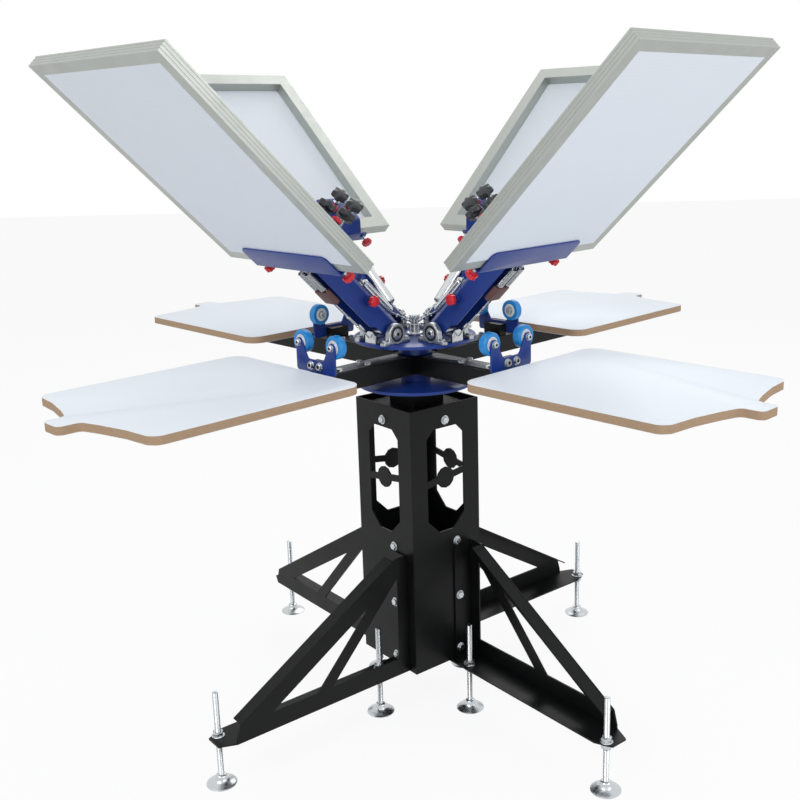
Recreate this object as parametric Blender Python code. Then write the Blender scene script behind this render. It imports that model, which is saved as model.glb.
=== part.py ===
"""Four-station, four-colour carousel screen printing press.

Metres, +Z up. The origin is on the turning axis, at the floor. Four print arms, raised, and four
pallets stand at the same bearings round a square column on four legs. The pieces that repeat are
made once, in a frame whose X axis points outwards, and placed at each station.
"""
import math

import bmesh
import bpy
from mathutils import Matrix, Vector

# Stations, as bearings from +X, and how far the two layers of the press are turned from them
STATIONS = {"front_right": -45.0, "back_right": 45.0, "back_left": 135.0, "front_left": 225.0}
HEAD_TURN = math.radians(-0.5)
BASE_TURN = math.radians(-6.0)
RAISE = math.radians(43.7)
FULL_TURN = 2 * math.pi

# Clearances shared by all pieces
GAP = 0.0003
OVERRUN = 0.002
BITE = 0.001

# Spindle, on which both carousels turn
SPINDLE_RADIUS = 0.020
SPINDLE_BOTTOM = 0.760
BORE_RADIUS = SPINDLE_RADIUS + GAP

# Column: a square sheet tube with a lobed window in each face
COLUMN_SIDE = 0.216
COLUMN_WALL = 0.004
COLUMN_BOTTOM = 0.118
COLUMN_TOP = 0.800
WINDOW_WIDTH = 0.116
WINDOW_BOTTOM = 0.476
WINDOW_TOP = 0.744
WINDOW_FOOT_CHAMFER = 0.036
WINDOW_HEAD_CHAMFER = 0.022
WEB_HEIGHT = 0.615
WEB_THICKNESS = 0.017
WEB_RISE = 0.009
LOBE_RADIUS = 0.027
BOLT_FLATS_RADIUS = 0.0085
BOLT_HEAD = 0.006
CAP_BOLT = (0.0, 0.762)
FACE_BOLT = (0.032, 0.441)

# Spindle housing: a cap plate inside the column's mouth, with a square tube standing on it
CAP_THICKNESS = 0.005
CAP_DEPTH = 0.012
HOUSING_SIDE = 0.095
HOUSING_WALL = 0.006
HOUSING_LID = 0.012

# Lower disk, fixed on the housing, with the pallet carousel's thrust boss
LOWER_DISK_RADIUS = 0.145
LOWER_DISK_BOTTOM = 0.838
DISK_THICKNESS = 0.008
THRUST_RADIUS = 0.036
THRUST_HEIGHT = 0.022

# Legs: a folded sheet truss, one plate standing at the right end of each column face
LEG_SHEET = 0.004
LEG_PLATE_OFFSET = 0.080
LEG_TOP = 0.430
LEG_TIP = 0.640
LEG_NOSE_HEIGHT = 0.012
LEG_SHOULDER = 0.150
LEG_TOE = 0.590
LEG_TOE_HEIGHT = 0.047
LEG_BAR = 0.045
LEG_BRACE = 0.030
BRACE_TOP = (0.145, 0.395)
BRACE_FOOT = 0.360
LEG_STRIP = 0.140
BASE_FLANGE_CHAMFER = 0.040
BASE_FLANGE_NIP = 0.018
SLOPE_FLANGE = 0.035
FOLD_STEP = 0.0004
FACE_FLANGE = 0.060
LEG_BOLT_HEIGHTS = (0.148, 0.293)
LEG_BOLT_LINE = 0.035

# Levelling feet
FOOT_LINE = 0.022
INNER_FOOT = 0.161
OUTER_FOOT = 0.618
PAD_RADIUS = 0.035
PAD_RIM = 0.003
PAD_DOME = 0.013
PAD_NECK_RADIUS = 0.013
PAD_NECK = 0.024
STUD_RADIUS = 0.007
STUD_TOP = 0.232
NUT_RADIUS = 0.0125
NUT_HEIGHT = 0.011

# Pallet spider: two crossed box beams, a pad under each pallet and a block behind each gate
BEAM_WIDTH = 0.064
BEAM_WALL = 0.003
BEAM_DEPTH = 0.0437
BEAM_TOP = LOWER_DISK_BOTTOM + DISK_THICKNESS + THRUST_HEIGHT + GAP + BEAM_DEPTH
BEAM_REACH = 0.700
HUB_TUBE_RADIUS = 0.026
PAD_START = 0.385
SPIDER_PAD_WIDTH = 0.056
BLOCK_DEPTH = 0.024
BLOCK_WIDTH = 0.056
BLOCK_RISE = 0.030
BLOCK_TOP = BEAM_TOP + BLOCK_RISE

# Pallets
PALLET_THICKNESS = 0.018
PALLET_RISE = 0.026
PALLET_TOP = BEAM_TOP + PALLET_RISE
PALLET_INNER = 0.365
PALLET_WIDTH = 0.450
PALLET_CORNER = 0.038
PALLET_SHOULDER = 0.848
PALLET_SHOULDER_HALF = 0.207
PALLET_SLOPE = (0.868, 0.145)
PALLET_VALLEY = (0.884, 0.075)
PALLET_TONGUE = 0.944
PALLET_TONGUE_HALF = 0.031
PALLET_TIP_CORNER = 0.014

# Registration gates and their rollers
GATE_FACE = 0.3085
GATE_SHEET = 0.005
GATE_HALF = 0.068
GATE_RISE = 0.0065
GATE_BOTTOM = BEAM_TOP + GATE_RISE
GATE_CORNER = 0.007
AXLE_SPREAD = 0.0575
PRONG_RADIUS = 0.0105
VALLEY_HALF = 0.027
VALLEY_RISE = 0.036
VALLEY_HEIGHT = BEAM_TOP + VALLEY_RISE
AXLE_RISE = 0.035
AXLE_HEIGHT = VALLEY_HEIGHT + AXLE_RISE
AXLE_RADIUS = 0.005
AXLE_HEAD_RADIUS = 0.009
AXLE_HEAD = 0.006
GATE_BOLT_SPREAD = 0.015
GATE_BOLT_RISE = 0.023
GATE_BOLT_HEIGHT = BEAM_TOP + GATE_BOLT_RISE
ROLLER_RADIUS = 0.0268
ROLLER_WIDTH = 0.020
HUB_RADIUS = 0.0165
HUB_RECESS = 0.002

# Upper disk of the print carousel, with its boss and the spring posts near its rim
UPPER_DISK_RADIUS = 0.150
BOSS_RADIUS = 0.042
THRUST_GAP = 0.0009
BOSS_HEIGHT = 0.0451
UPPER_DISK_TOP = BEAM_TOP + THRUST_GAP + BOSS_HEIGHT
SPINDLE_TOP = UPPER_DISK_TOP - GAP
POST_RADIUS = 0.013
POST_HEIGHT = 0.051
POST_TOP = UPPER_DISK_TOP + POST_HEIGHT
POST_FLANGE_RADIUS = 0.021
POST_FLANGE = 0.006
POST_GROOVE_RADIUS = 0.010
POST_GROOVE = 0.012
ANCHOR_RADIUS = 0.146
ANCHOR_SHEET = 0.005
ANCHOR_HALF = 0.018
ANCHOR_HEIGHT = 0.030

# Pivot of a print arm: a shaft in two pillow blocks
PIVOT_RADIUS = 0.107
PIVOT_RISE = 0.024
PIVOT_HEIGHT = UPPER_DISK_TOP + PIVOT_RISE
SHAFT_RADIUS = 0.0085
BLOCK_SPREAD = 0.045
PILLOW_WIDTH = 0.015
PILLOW_ROUND = 0.025
PILLOW_FOOT_HALF = 0.0425
PILLOW_FOOT = 0.008
PILLOW_WAIST_HALF = 0.023
SHAFT_HALF = 0.056
INSERT_RADIUS = 0.016
INSERT_PROUD = 0.0015
ROUND_STEPS = 5

# Print arm: an inverted channel, lengthwise from the pivot; heights are from the pivot when lowered
ARM_HALF = 0.030
ARM_BOTTOM = -0.027
ARM_TOP = 0.038
ARM_BEVEL = 0.014
ARM_WALL = 0.0025
ARM_BACK = -0.014
ARM_END = 0.294
ARM_ROOT_CUT = 0.045
ARM_ROOT_BOTTOM = -0.016
LUG_REACH = 0.146
LUG_HALF = 0.005
LUG_LENGTH = 0.014
LUG_HEIGHT = 0.024
SIDE_KNOB_REACH = 0.108
SIDE_KNOB_HEIGHT = 0.017
SIDE_KNOB_START = 0.040
KNOB_RADIUS = 0.014
KNOB_LENGTH = 0.016
KNOB_STEM_RADIUS = 0.004
SPRING_STAY_REACH = 0.2885
SPRING_STAY_SHEET = 0.004
SPRING_STAY_DROP = 0.010

# Clamp head on the end of the arm
JAW_TOP = -0.0393
JAW_SHEET = 0.0037
JAW_DEPTH = 0.064
JAW_OUTER = ARM_END + JAW_DEPTH
JAW_HALF = 0.148
BACK_PLATE_SHEET = 0.004
BACK_PLATE_HALF = 0.150
BACK_PLATE_SHOULDER = 0.062
BACK_PLATE_WING_TOP = -0.014
SADDLE_BACK = 0.058
SADDLE_START = ARM_END - SADDLE_BACK
SADDLE_LENGTH = 0.109
SADDLE_END = SADDLE_START + SADDLE_LENGTH
SADDLE_HALF = 0.046
SADDLE_BOTTOM = 0.0385
SADDLE_TOP = 0.085
SADDLE_BEVEL = 0.026
SADDLE_WALL = 0.004
HEAD_KNOB_SPREAD = 0.138
HEAD_KNOB_HEIGHT = -0.027
HEAD_KNOB_STAND = 0.014
STAR_RADIUS = 0.021
STAR_LENGTH = 0.022
STAR_LOBE_SHARE = 0.14
STAR_LOBES = 7
STAR_STEM_RADIUS = 0.006
TOP_STAR_INSET = 0.030
TOP_STAR_REACH = SADDLE_START + TOP_STAR_INSET
TOP_STAR_STAND = 0.037
TOP_STAR_HEIGHT = SADDLE_TOP + TOP_STAR_STAND
CLAMP_STAR_INSET = 0.022
CLAMP_STAR_REACH = SADDLE_END - CLAMP_STAR_INSET
CLAMP_STAR_STAND = 0.017
CLAMP_STAR_HEIGHT = SADDLE_TOP + CLAMP_STAR_STAND
CLAMP_PAD_RADIUS = 0.012
CLAMP_PAD = 0.006
CLAMP_BAR_SHEET = 0.004
CLAMP_BAR_HALF = 0.085
CLAMP_BAR_GAP = 0.0017
CLAMP_BAR_INSET = 0.013
BAR_KNOB_SPREAD = 0.070
BAR_KNOB_STAND = 0.004

# Screen: an aluminium frame with its mesh on the underside
SCREEN_STAND = 0.0156
SCREEN_START = ARM_END + SCREEN_STAND
SCREEN_UNDERSIDE = JAW_TOP + GAP
SCREEN_LENGTH = 0.609
SCREEN_WIDTH = 0.480
SCREEN_DEPTH = 0.0274
RAIL_WIDTH = 0.038
MESH_THICKNESS = 0.001

# Lift spring above the arm, from the arm's lug to the centre post
TUBE_RADIUS = 0.0118
TUBE_HEIGHT = 0.051
TUBE_TOP = 0.124
TUBE_FOOT = 0.016
TUBE_CAP = 0.004
LINK_RADIUS = 0.003
LINK_SWELL_RADIUS = 0.006
LINK_END_RISE = 0.033
LINK_END_HEIGHT = UPPER_DISK_TOP + LINK_END_RISE
LINK_SWELL_START_SHARE = 0.28
LINK_SWELL_END_SHARE = 0.72
LINK_TAPER_SHARE = 0.06

# Twin springs under the arm, wound as one wire that turns back at the stay, and their link
COIL_RADIUS = 0.0068
WIRE_RADIUS = 0.0012
COIL_SPREAD = 0.0125
COIL_HEIGHT = -0.0355
COIL_START = 0.218
COIL_END = 0.277
CURLS = 5
POINTS_PER_CURL = 8
SLEEVE_START = 0.170
SLEEVE_END = 0.213
SLEEVE_HALF = 0.022
SLEEVE_HALF_HEIGHT = 0.0078
SLEEVE_CORNER = 0.005
TAIL_SINK = 0.004
LOWER_LINK_RADIUS = 0.003
LOWER_LINK_SWELL = 0.0055

# Facets
DISK_SIDES = 32
ROUND_SIDES = 20
WHEEL_SIDES = 14
FOOT_SIDES = 12
TUBE_SIDES = 14
PIN_SIDES = 8
STEM_SIDES = 6
SHARP_ANGLE = math.radians(35)


def colour_of(red, green, blue):
    return (red, green, blue, 1.0)


def finish(name, colour, roughness, metallic):
    """A Principled material in the piece's own colour."""
    material = bpy.data.materials.new(name)
    material.use_nodes = True
    shader = material.node_tree.nodes["Principled BSDF"]
    shader.inputs["Base Color"].default_value = colour
    shader.inputs["Roughness"].default_value = roughness
    shader.inputs["Metallic"].default_value = metallic
    material.diffuse_color = colour
    return material


def arc(centre, radius, start, end, steps):
    """Points on a circular arc, start and end in degrees, both ends included."""
    points = []
    for step in range(steps + 1):
        angle = math.radians(start + (end - start) * step / steps)
        points.append((centre[0] + radius * math.cos(angle), centre[1] + radius * math.sin(angle)))
    return points


def rounded(corners, radii, steps=2):
    """An outline with each corner replaced by an arc tangent to both of its sides."""
    outline = []
    count = len(corners)
    for index, (corner, radius) in enumerate(zip(corners, radii)):
        here = Vector(corner)
        if radius == 0:
            outline.append(tuple(here))
            continue
        before = (Vector(corners[index - 1]) - here).normalized()
        after = (Vector(corners[(index + 1) % count]) - here).normalized()
        half = before.angle(after) / 2
        reach = radius / math.tan(half)
        centre = here + (before + after).normalized() * (radius / math.sin(half))
        first = here + before * reach - centre
        last = here + after * reach - centre
        swing = first.angle_signed(last)
        for step in range(steps + 1):
            turned_by = -swing * step / steps
            outline.append(tuple(centre + Matrix.Rotation(turned_by, 2) @ first))
    return outline


def mesh_from(bm, name):
    bmesh.ops.recalc_face_normals(bm, faces=bm.faces)
    mesh = bpy.data.meshes.new(name)
    bm.to_mesh(mesh)
    bm.free()
    return mesh


def slab(outline, low, high, plane="xy"):
    """An outline in one plane, extruded from low to high along the third axis."""
    order = {"xy": (0, 1, 2), "xz": (0, 2, 1), "yz": (1, 2, 0)}[plane]
    bm = bmesh.new()
    rings = []
    for level in (low, high):
        ring = []
        for first, second in outline:
            place = [0, 0, 0]
            place[order[0]] = first
            place[order[1]] = second
            place[order[2]] = level
            ring.append(bm.verts.new(place))
        rings.append(ring)
    count = len(outline)
    bm.faces.new(rings[0])
    bm.faces.new(rings[1])
    for index in range(count):
        after = (index + 1) % count
        bm.faces.new((rings[0][index], rings[0][after], rings[1][after], rings[1][index]))
    return mesh_from(bm, "slab")


def block(x_range, y_range, z_range):
    """A plain block between two corners."""
    outline = [(x_range[0], y_range[0]), (x_range[1], y_range[0]),
               (x_range[1], y_range[1]), (x_range[0], y_range[1])]
    return slab(outline, z_range[0], z_range[1])


def turned(profile, sides, bored=False, matrix=None):
    """A profile of (radius, height) points turned about Z: flat-ended, or a ring where it is bored."""
    bm = bmesh.new()
    rings = []
    for radius, height in profile:
        ring = []
        for side in range(sides):
            angle = FULL_TURN * side / sides
            ring.append(bm.verts.new((radius * math.cos(angle), radius * math.sin(angle), height)))
        rings.append(ring)
    neighbours = list(zip(rings, rings[1:]))
    if bored:
        neighbours.append((rings[-1], rings[0]))
    else:
        bm.faces.new(rings[0])
        bm.faces.new(rings[-1])
    for ring, other in neighbours:
        for side in range(sides):
            after = (side + 1) % sides
            bm.faces.new((ring[side], ring[after], other[after], other[side]))
    mesh = mesh_from(bm, "turned")
    if matrix is not None:
        mesh.transform(matrix)
    return mesh


def rod(radius, start, end, sides=PIN_SIDES):
    """A round rod between two points."""
    return lathe_between([(radius, 0), (radius, 1)], start, end, sides)


def lathe_between(profile, start, end, sides):
    """A turned piece along a line: profile points are (radius, share of the line's length)."""
    start = Vector(start)
    along = Vector(end) - start
    length = along.length
    points = [(radius, share * length) for radius, share in profile]
    lay = Matrix.Translation(start) @ along.to_track_quat("Z", "Y").to_matrix().to_4x4()
    return turned(points, sides, matrix=lay)


def disc(radius, start, end, sides):
    """A prism with flats, such as a bolt head or a nut."""
    return rod(radius, start, end, sides)


def star(radius, centre, length, lobes, axis):
    """A knob with lobes round its rim, along the X or the Z axis."""
    outline = []
    for step in range(lobes * 2):
        angle = FULL_TURN * step / (lobes * 2)
        reach = radius * (1 - STAR_LOBE_SHARE * (step % 2))
        outline.append((reach * math.cos(angle), reach * math.sin(angle)))
    mesh = slab(outline, 0, length)
    turn = Matrix.Rotation(-math.pi / 2, 4, "Y") if axis == "X" else Matrix.Identity(4)
    mesh.transform(Matrix.Translation(Vector(centre)) @ turn)
    return mesh


def turned_copy(mesh, angle):
    """The same mesh turned about Z."""
    copy = mesh.copy()
    copy.transform(Matrix.Rotation(angle, 4, "Z"))
    return copy


def combined(base, add=(), cut=()):
    """One mesh from a base, the meshes joined to it and the meshes cut from it."""
    body = bpy.data.objects.new("body", base)
    bpy.context.scene.collection.objects.link(body)
    tools = []
    for operation, meshes in (("UNION", add), ("DIFFERENCE", cut)):
        for mesh in meshes:
            tool = bpy.data.objects.new("tool", mesh)
            tool.hide_render = True
            tool.display_type = "WIRE"
            bpy.context.scene.collection.objects.link(tool)
            tools.append(tool)
            modifier = body.modifiers.new(operation.lower(), "BOOLEAN")
            modifier.operation = operation
            modifier.solver = "EXACT"
            modifier.object = tool
    bpy.context.view_layer.update()
    depsgraph = bpy.context.evaluated_depsgraph_get()
    result = bpy.data.meshes.new_from_object(body.evaluated_get(depsgraph))
    for item in [body] + tools:
        bpy.data.objects.remove(item)
    return result


def place(name, mesh, material, parent=None, turn=0.0, round_piece=True):
    """A named sub-part, with its material, placed under its parent."""
    own = mesh.copy()
    own.name = name
    own.materials.clear()
    own.materials.append(material)
    if round_piece:
        own.shade_smooth()
        own.set_sharp_from_angle(angle=SHARP_ANGLE)
    piece = bpy.data.objects.new(name, own)
    bpy.context.scene.collection.objects.link(piece)
    piece.parent = parent
    piece.rotation_euler = (0, 0, turn)
    return piece


def frame(name, location=(0, 0, 0), rotation=(0, 0, 0), parent=None):
    """An empty that pieces are placed under."""
    empty = bpy.data.objects.new(name, None)
    empty.location = location
    empty.rotation_euler = rotation
    empty.parent = parent
    bpy.context.scene.collection.objects.link(empty)
    return empty


def square(side):
    half = side / 2
    return [(-half, -half), (half, -half), (half, half), (-half, half)]


def crossing(first, second):
    """Where two lines meet, each given by a point and a direction."""
    (px, py), (dx, dy) = first
    (qx, qy), (ex, ey) = second
    share = ((qx - px) * ey - (qy - py) * ex) / (dx * ey - dy * ex)
    return (px + dx * share, py + dy * share)


def column_mesh():
    """The square tube, open at both ends, with two openings and a lobed web in each face."""
    shell = slab(square(COLUMN_SIDE), COLUMN_BOTTOM, COLUMN_TOP)
    hollow = slab(square(COLUMN_SIDE - 2 * COLUMN_WALL), COLUMN_BOTTOM - OVERRUN, COLUMN_TOP + OVERRUN)
    half = WINDOW_WIDTH / 2
    foot_cut = WINDOW_FOOT_CHAMFER
    head_cut = WINDOW_HEAD_CHAMFER
    corners = [(-half + foot_cut, WINDOW_BOTTOM), (half - foot_cut, WINDOW_BOTTOM),
               (half, WINDOW_BOTTOM + foot_cut), (half, WINDOW_TOP - head_cut),
               (half - head_cut, WINDOW_TOP), (-half + head_cut, WINDOW_TOP),
               (-half, WINDOW_TOP - head_cut), (-half, WINDOW_BOTTOM + foot_cut)]
    inner_face = COLUMN_SIDE / 2 - COLUMN_WALL - OVERRUN
    outer_face = COLUMN_SIDE / 2 + OVERRUN
    window = slab(corners, inner_face, outer_face, "yz")
    web_reach = half + OVERRUN
    low = WEB_HEIGHT - WEB_THICKNESS / 2
    high = WEB_HEIGHT + WEB_THICKNESS / 2
    web = slab([(-web_reach, low - WEB_RISE), (web_reach, low + WEB_RISE),
                (web_reach, high + WEB_RISE), (-web_reach, high - WEB_RISE)],
               inner_face - OVERRUN, outer_face + OVERRUN, "yz")
    lobe = slab(arc((0, WEB_HEIGHT), LOBE_RADIUS, 0, 330, 11),
                inner_face - BITE, outer_face + BITE, "yz")
    window = combined(window, cut=[web, lobe])
    windows = [turned_copy(window, quarter * math.pi / 2) for quarter in range(4)]
    face = COLUMN_SIDE / 2
    bolts = []
    for across, height in (CAP_BOLT, FACE_BOLT):
        bolt = disc(BOLT_FLATS_RADIUS, (face - COLUMN_WALL / 2, across, height),
                    (face + BOLT_HEAD, across, height), 6)
        bolts += [turned_copy(bolt, quarter * math.pi / 2) for quarter in range(4)]
    return combined(shell, add=bolts, cut=[hollow] + windows)


def housing_mesh():
    """The cap plate with the square tube and its bored lid, as one weldment."""
    plate_side = COLUMN_SIDE - 2 * COLUMN_WALL - 2 * GAP
    plate_top = COLUMN_TOP - CAP_DEPTH
    tube_top = LOWER_DISK_BOTTOM - GAP
    plate = slab(square(plate_side), plate_top - CAP_THICKNESS, plate_top)
    tube = slab(square(HOUSING_SIDE), plate_top - CAP_THICKNESS / 2, tube_top)
    hollow = slab(square(HOUSING_SIDE - 2 * HOUSING_WALL), plate_top - CAP_THICKNESS - OVERRUN,
                  tube_top - HOUSING_LID)
    bore = rod(BORE_RADIUS, (0, 0, tube_top - HOUSING_LID - OVERRUN), (0, 0, tube_top + OVERRUN),
               ROUND_SIDES)
    return combined(plate, add=[tube], cut=[hollow, bore])


def ring_disk(radius, bottom, boss_radius, boss_low, boss_high):
    """A bored disk with a boss above or below it."""
    top = bottom + DISK_THICKNESS
    profile = [(BORE_RADIUS, min(bottom, boss_low))]
    if boss_low < bottom:
        profile += [(boss_radius, boss_low), (boss_radius, bottom)]
    profile += [(radius, bottom), (radius, top)]
    if boss_high > top:
        profile += [(boss_radius, top), (boss_radius, boss_high)]
    profile.append((BORE_RADIUS, max(top, boss_high)))
    return turned(profile, DISK_SIDES, bored=True)


def leg_mesh():
    """The folded truss with its weld nuts and bolt heads; X runs out along the leg."""
    start = COLUMN_SIDE / 2 + GAP
    floor = COLUMN_BOTTOM
    plate_in = LEG_PLATE_OFFSET - LEG_SHEET
    toe = (LEG_TOE, floor + LEG_TOE_HEIGHT)
    shoulder = (LEG_SHOULDER, LEG_TOP)
    outline = [(start, floor), (LEG_TIP - BASE_FLANGE_CHAMFER, floor),
               (LEG_TIP - BASE_FLANGE_CHAMFER, floor + LEG_NOSE_HEIGHT), toe, shoulder, (start, LEG_TOP)]
    plate = slab(outline, plate_in, LEG_PLATE_OFFSET, "xz")
    slope = (Vector(toe) - Vector(shoulder)).normalized()
    inward = Vector((slope.y, -slope.x))
    if inward.y > 0:
        inward = -inward
    bar_line = (tuple(Vector(shoulder) + inward * LEG_BAR), tuple(slope))
    foot = (BRACE_FOOT, floor + LEG_BAR)
    brace = (Vector(foot) - Vector(BRACE_TOP)).normalized()
    aside = Vector((-brace.y, brace.x)) * (LEG_BRACE / 2)
    right_line = (tuple(Vector(foot) + aside), tuple(brace))
    left_line = (tuple(Vector(foot) - aside), tuple(brace))
    bottom_line = ((start, floor + LEG_BAR), (1, 0))
    strip_line = ((LEG_STRIP, floor), (0, 1))
    outer_hole = [crossing(bar_line, right_line), crossing(right_line, bottom_line),
                  crossing(bottom_line, bar_line)]
    inner_hole = [crossing(strip_line, left_line), crossing(strip_line, bottom_line),
                  crossing(left_line, bottom_line)]
    reach = (plate_in - OVERRUN, LEG_PLATE_OFFSET + OVERRUN)
    holes = [slab(outer_hole, reach[0], reach[1], "xz"), slab(inner_hole, reach[0], reach[1], "xz")]
    plate = combined(plate, cut=holes)
    chamfer = BASE_FLANGE_CHAMFER
    base = slab([(start, 0), (LEG_TIP - chamfer, 0), (LEG_TIP, BASE_FLANGE_NIP),
                 (LEG_TIP, LEG_PLATE_OFFSET - BASE_FLANGE_NIP), (LEG_TIP - chamfer, LEG_PLATE_OFFSET),
                 (start, LEG_PLATE_OFFSET)], floor, floor + LEG_SHEET)
    face = block((start + FOLD_STEP, start + LEG_SHEET),
                 (LEG_PLATE_OFFSET - FACE_FLANGE, LEG_PLATE_OFFSET - LEG_SHEET / 2),
                 (floor + LEG_SHEET / 2, LEG_TOP - FOLD_STEP))
    edge = [Vector(shoulder) + slope * FOLD_STEP, Vector(toe) - slope * FOLD_STEP]
    fold = slab([tuple(edge[0] + inward * FOLD_STEP), tuple(edge[1] + inward * FOLD_STEP),
                 tuple(edge[1] + inward * LEG_SHEET), tuple(edge[0] + inward * LEG_SHEET)],
                LEG_PLATE_OFFSET - SLOPE_FLANGE, LEG_PLATE_OFFSET - LEG_SHEET / 2, "xz")
    pieces = [base, face, fold]
    holes = []
    for reach in (INNER_FOOT, OUTER_FOOT):
        low = floor - NUT_HEIGHT
        high = floor + LEG_SHEET + NUT_HEIGHT
        pieces.append(disc(NUT_RADIUS, (reach, FOOT_LINE, low), (reach, FOOT_LINE, high), 6))
        holes.append(rod(STUD_RADIUS + GAP, (reach, FOOT_LINE, low - OVERRUN),
                         (reach, FOOT_LINE, high + OVERRUN), FOOT_SIDES))
    for height in LEG_BOLT_HEIGHTS:
        pieces.append(disc(BOLT_FLATS_RADIUS, (start + LEG_SHEET / 2, LEG_BOLT_LINE, height),
                           (start + LEG_SHEET + BOLT_HEAD, LEG_BOLT_LINE, height), 6))
    return combined(plate, add=pieces, cut=holes)


def foot_mesh():
    """A dished pad with a swivel neck and its threaded stud."""
    profile = [(PAD_RADIUS, 0), (PAD_RADIUS, PAD_RIM), (PAD_NECK_RADIUS, PAD_DOME),
               (PAD_NECK_RADIUS, PAD_NECK), (STUD_RADIUS, PAD_NECK), (STUD_RADIUS, STUD_TOP)]
    return turned(profile, FOOT_SIDES)


def cross_outline(half, reach):
    """The outline of two crossed bars."""
    return [(half, half), (half, reach), (-half, reach), (-half, half), (-reach, half), (-reach, -half),
            (-half, -half), (-half, -reach), (half, -reach), (half, -half), (reach, -half), (reach, half)]


def spider_mesh():
    """The crossed beams with the pallets' pads, the gates' blocks and the bore."""
    low = LOWER_DISK_BOTTOM + DISK_THICKNESS + THRUST_HEIGHT + GAP
    beams = slab(cross_outline(BEAM_WIDTH / 2, BEAM_REACH), low, BEAM_TOP)
    hollow = slab(cross_outline(BEAM_WIDTH / 2 - BEAM_WALL, BEAM_REACH + OVERRUN), low + BEAM_WALL,
                  BEAM_TOP - BEAM_WALL)
    hub = rod(HUB_TUBE_RADIUS, (0, 0, low + BITE), (0, 0, BEAM_TOP - BITE), PIN_SIDES)
    pad_half = SPIDER_PAD_WIDTH / 2
    pad_top = PALLET_TOP - PALLET_THICKNESS - GAP
    pad = block((PAD_START, BEAM_REACH - OVERRUN), (-pad_half, pad_half), (BEAM_TOP - BITE, pad_top))
    beams = combined(combined(beams, cut=[hollow]), add=[hub])
    block_end = GATE_FACE - GAP
    stand = block((block_end - BLOCK_DEPTH, block_end), (-BLOCK_WIDTH / 2, BLOCK_WIDTH / 2),
                  (BEAM_TOP - BITE, BLOCK_TOP))
    pieces = []
    for quarter in range(4):
        pieces.append(turned_copy(pad, quarter * math.pi / 2))
        pieces.append(turned_copy(stand, quarter * math.pi / 2))
    bore = rod(BORE_RADIUS, (0, 0, low - OVERRUN), (0, 0, BEAM_TOP + OVERRUN), ROUND_SIDES)
    return combined(beams, add=pieces, cut=[bore])


def pallet_mesh():
    """The board: rounded at the hub end, with sloping shoulders and a tongue at the outer end."""
    half = PALLET_WIDTH / 2
    side = [(PALLET_INNER, -half), (PALLET_SHOULDER, -half), (PALLET_SHOULDER + PALLET_TIP_CORNER,
                                                             -PALLET_SHOULDER_HALF),
            (PALLET_SLOPE[0], -PALLET_SLOPE[1]), (PALLET_VALLEY[0], -PALLET_VALLEY[1]),
            (PALLET_VALLEY[0] + PALLET_TIP_CORNER, -PALLET_TONGUE_HALF),
            (PALLET_TONGUE, -PALLET_TONGUE_HALF)]
    other = [(reach, -across) for reach, across in reversed(side)]
    corner = PALLET_CORNER
    tip = PALLET_TIP_CORNER
    radii = [corner, tip, tip, corner, tip, tip, tip]
    outline = rounded(side + other, radii + radii[::-1])
    return slab(outline, PALLET_TOP - PALLET_THICKNESS, PALLET_TOP)


def gate_mesh():
    """The two-pronged plate with the rollers' axles and its fixing bolts."""
    half = GATE_HALF
    right = [(half, GATE_BOTTOM + GATE_CORNER)]
    right += arc((AXLE_SPREAD, AXLE_HEIGHT), PRONG_RADIUS, 0, 180, ROUND_STEPS)
    right.append((VALLEY_HALF, VALLEY_HEIGHT))
    left = [(-across, height) for across, height in reversed(right)]
    outline = [(-half + GATE_CORNER, GATE_BOTTOM), (half - GATE_CORNER, GATE_BOTTOM)] + right + left
    outer = GATE_FACE + GATE_SHEET
    plate = slab(outline, GATE_FACE, outer, "yz")
    pieces = []
    nut_end = GATE_FACE - ROLLER_WIDTH - 2 * GAP
    for side in (-1, 1):
        across = side * AXLE_SPREAD
        pieces.append(rod(AXLE_RADIUS, (nut_end - AXLE_HEAD / 2, across, AXLE_HEIGHT),
                          (outer - GATE_SHEET / 2, across, AXLE_HEIGHT)))
        pieces.append(disc(AXLE_HEAD_RADIUS, (nut_end - AXLE_HEAD, across, AXLE_HEIGHT),
                           (nut_end, across, AXLE_HEIGHT), 6))
        pieces.append(disc(AXLE_HEAD_RADIUS, (outer - BITE, across, AXLE_HEIGHT),
                           (outer + AXLE_HEAD, across, AXLE_HEIGHT), 6))
        bolt = side * GATE_BOLT_SPREAD
        pieces.append(disc(BOLT_FLATS_RADIUS, (outer - BITE, bolt, GATE_BOLT_HEIGHT),
                           (outer + BOLT_HEAD, bolt, GATE_BOLT_HEIGHT), 6))
    return combined(plate, add=pieces)


def roller_mesh():
    """A soft-tyred roller about its own axis, X, with its hub recessed on the outer face."""
    half = ROLLER_WIDTH / 2
    inner = AXLE_RADIUS + GAP
    profile = [(inner, -half), (ROLLER_RADIUS, -half), (ROLLER_RADIUS, half), (HUB_RADIUS, half),
               (HUB_RADIUS, half - HUB_RECESS), (inner, half - HUB_RECESS)]
    return turned(profile, WHEEL_SIDES, bored=True, matrix=Matrix.Rotation(math.pi / 2, 4, "Y"))


def upper_disk_mesh():
    """The bored disk with its boss and four spring posts."""
    bottom = UPPER_DISK_TOP - DISK_THICKNESS
    disk = ring_disk(UPPER_DISK_RADIUS, bottom, BOSS_RADIUS, BEAM_TOP + THRUST_GAP, UPPER_DISK_TOP)
    anchor = block((ANCHOR_RADIUS - ANCHOR_SHEET, ANCHOR_RADIUS), (-ANCHOR_HALF, ANCHOR_HALF),
                   (UPPER_DISK_TOP - BITE, UPPER_DISK_TOP + ANCHOR_HEIGHT))
    anchors = [turned_copy(anchor, quarter * math.pi / 2) for quarter in range(4)]
    return combined(disk, add=anchors)


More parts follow.
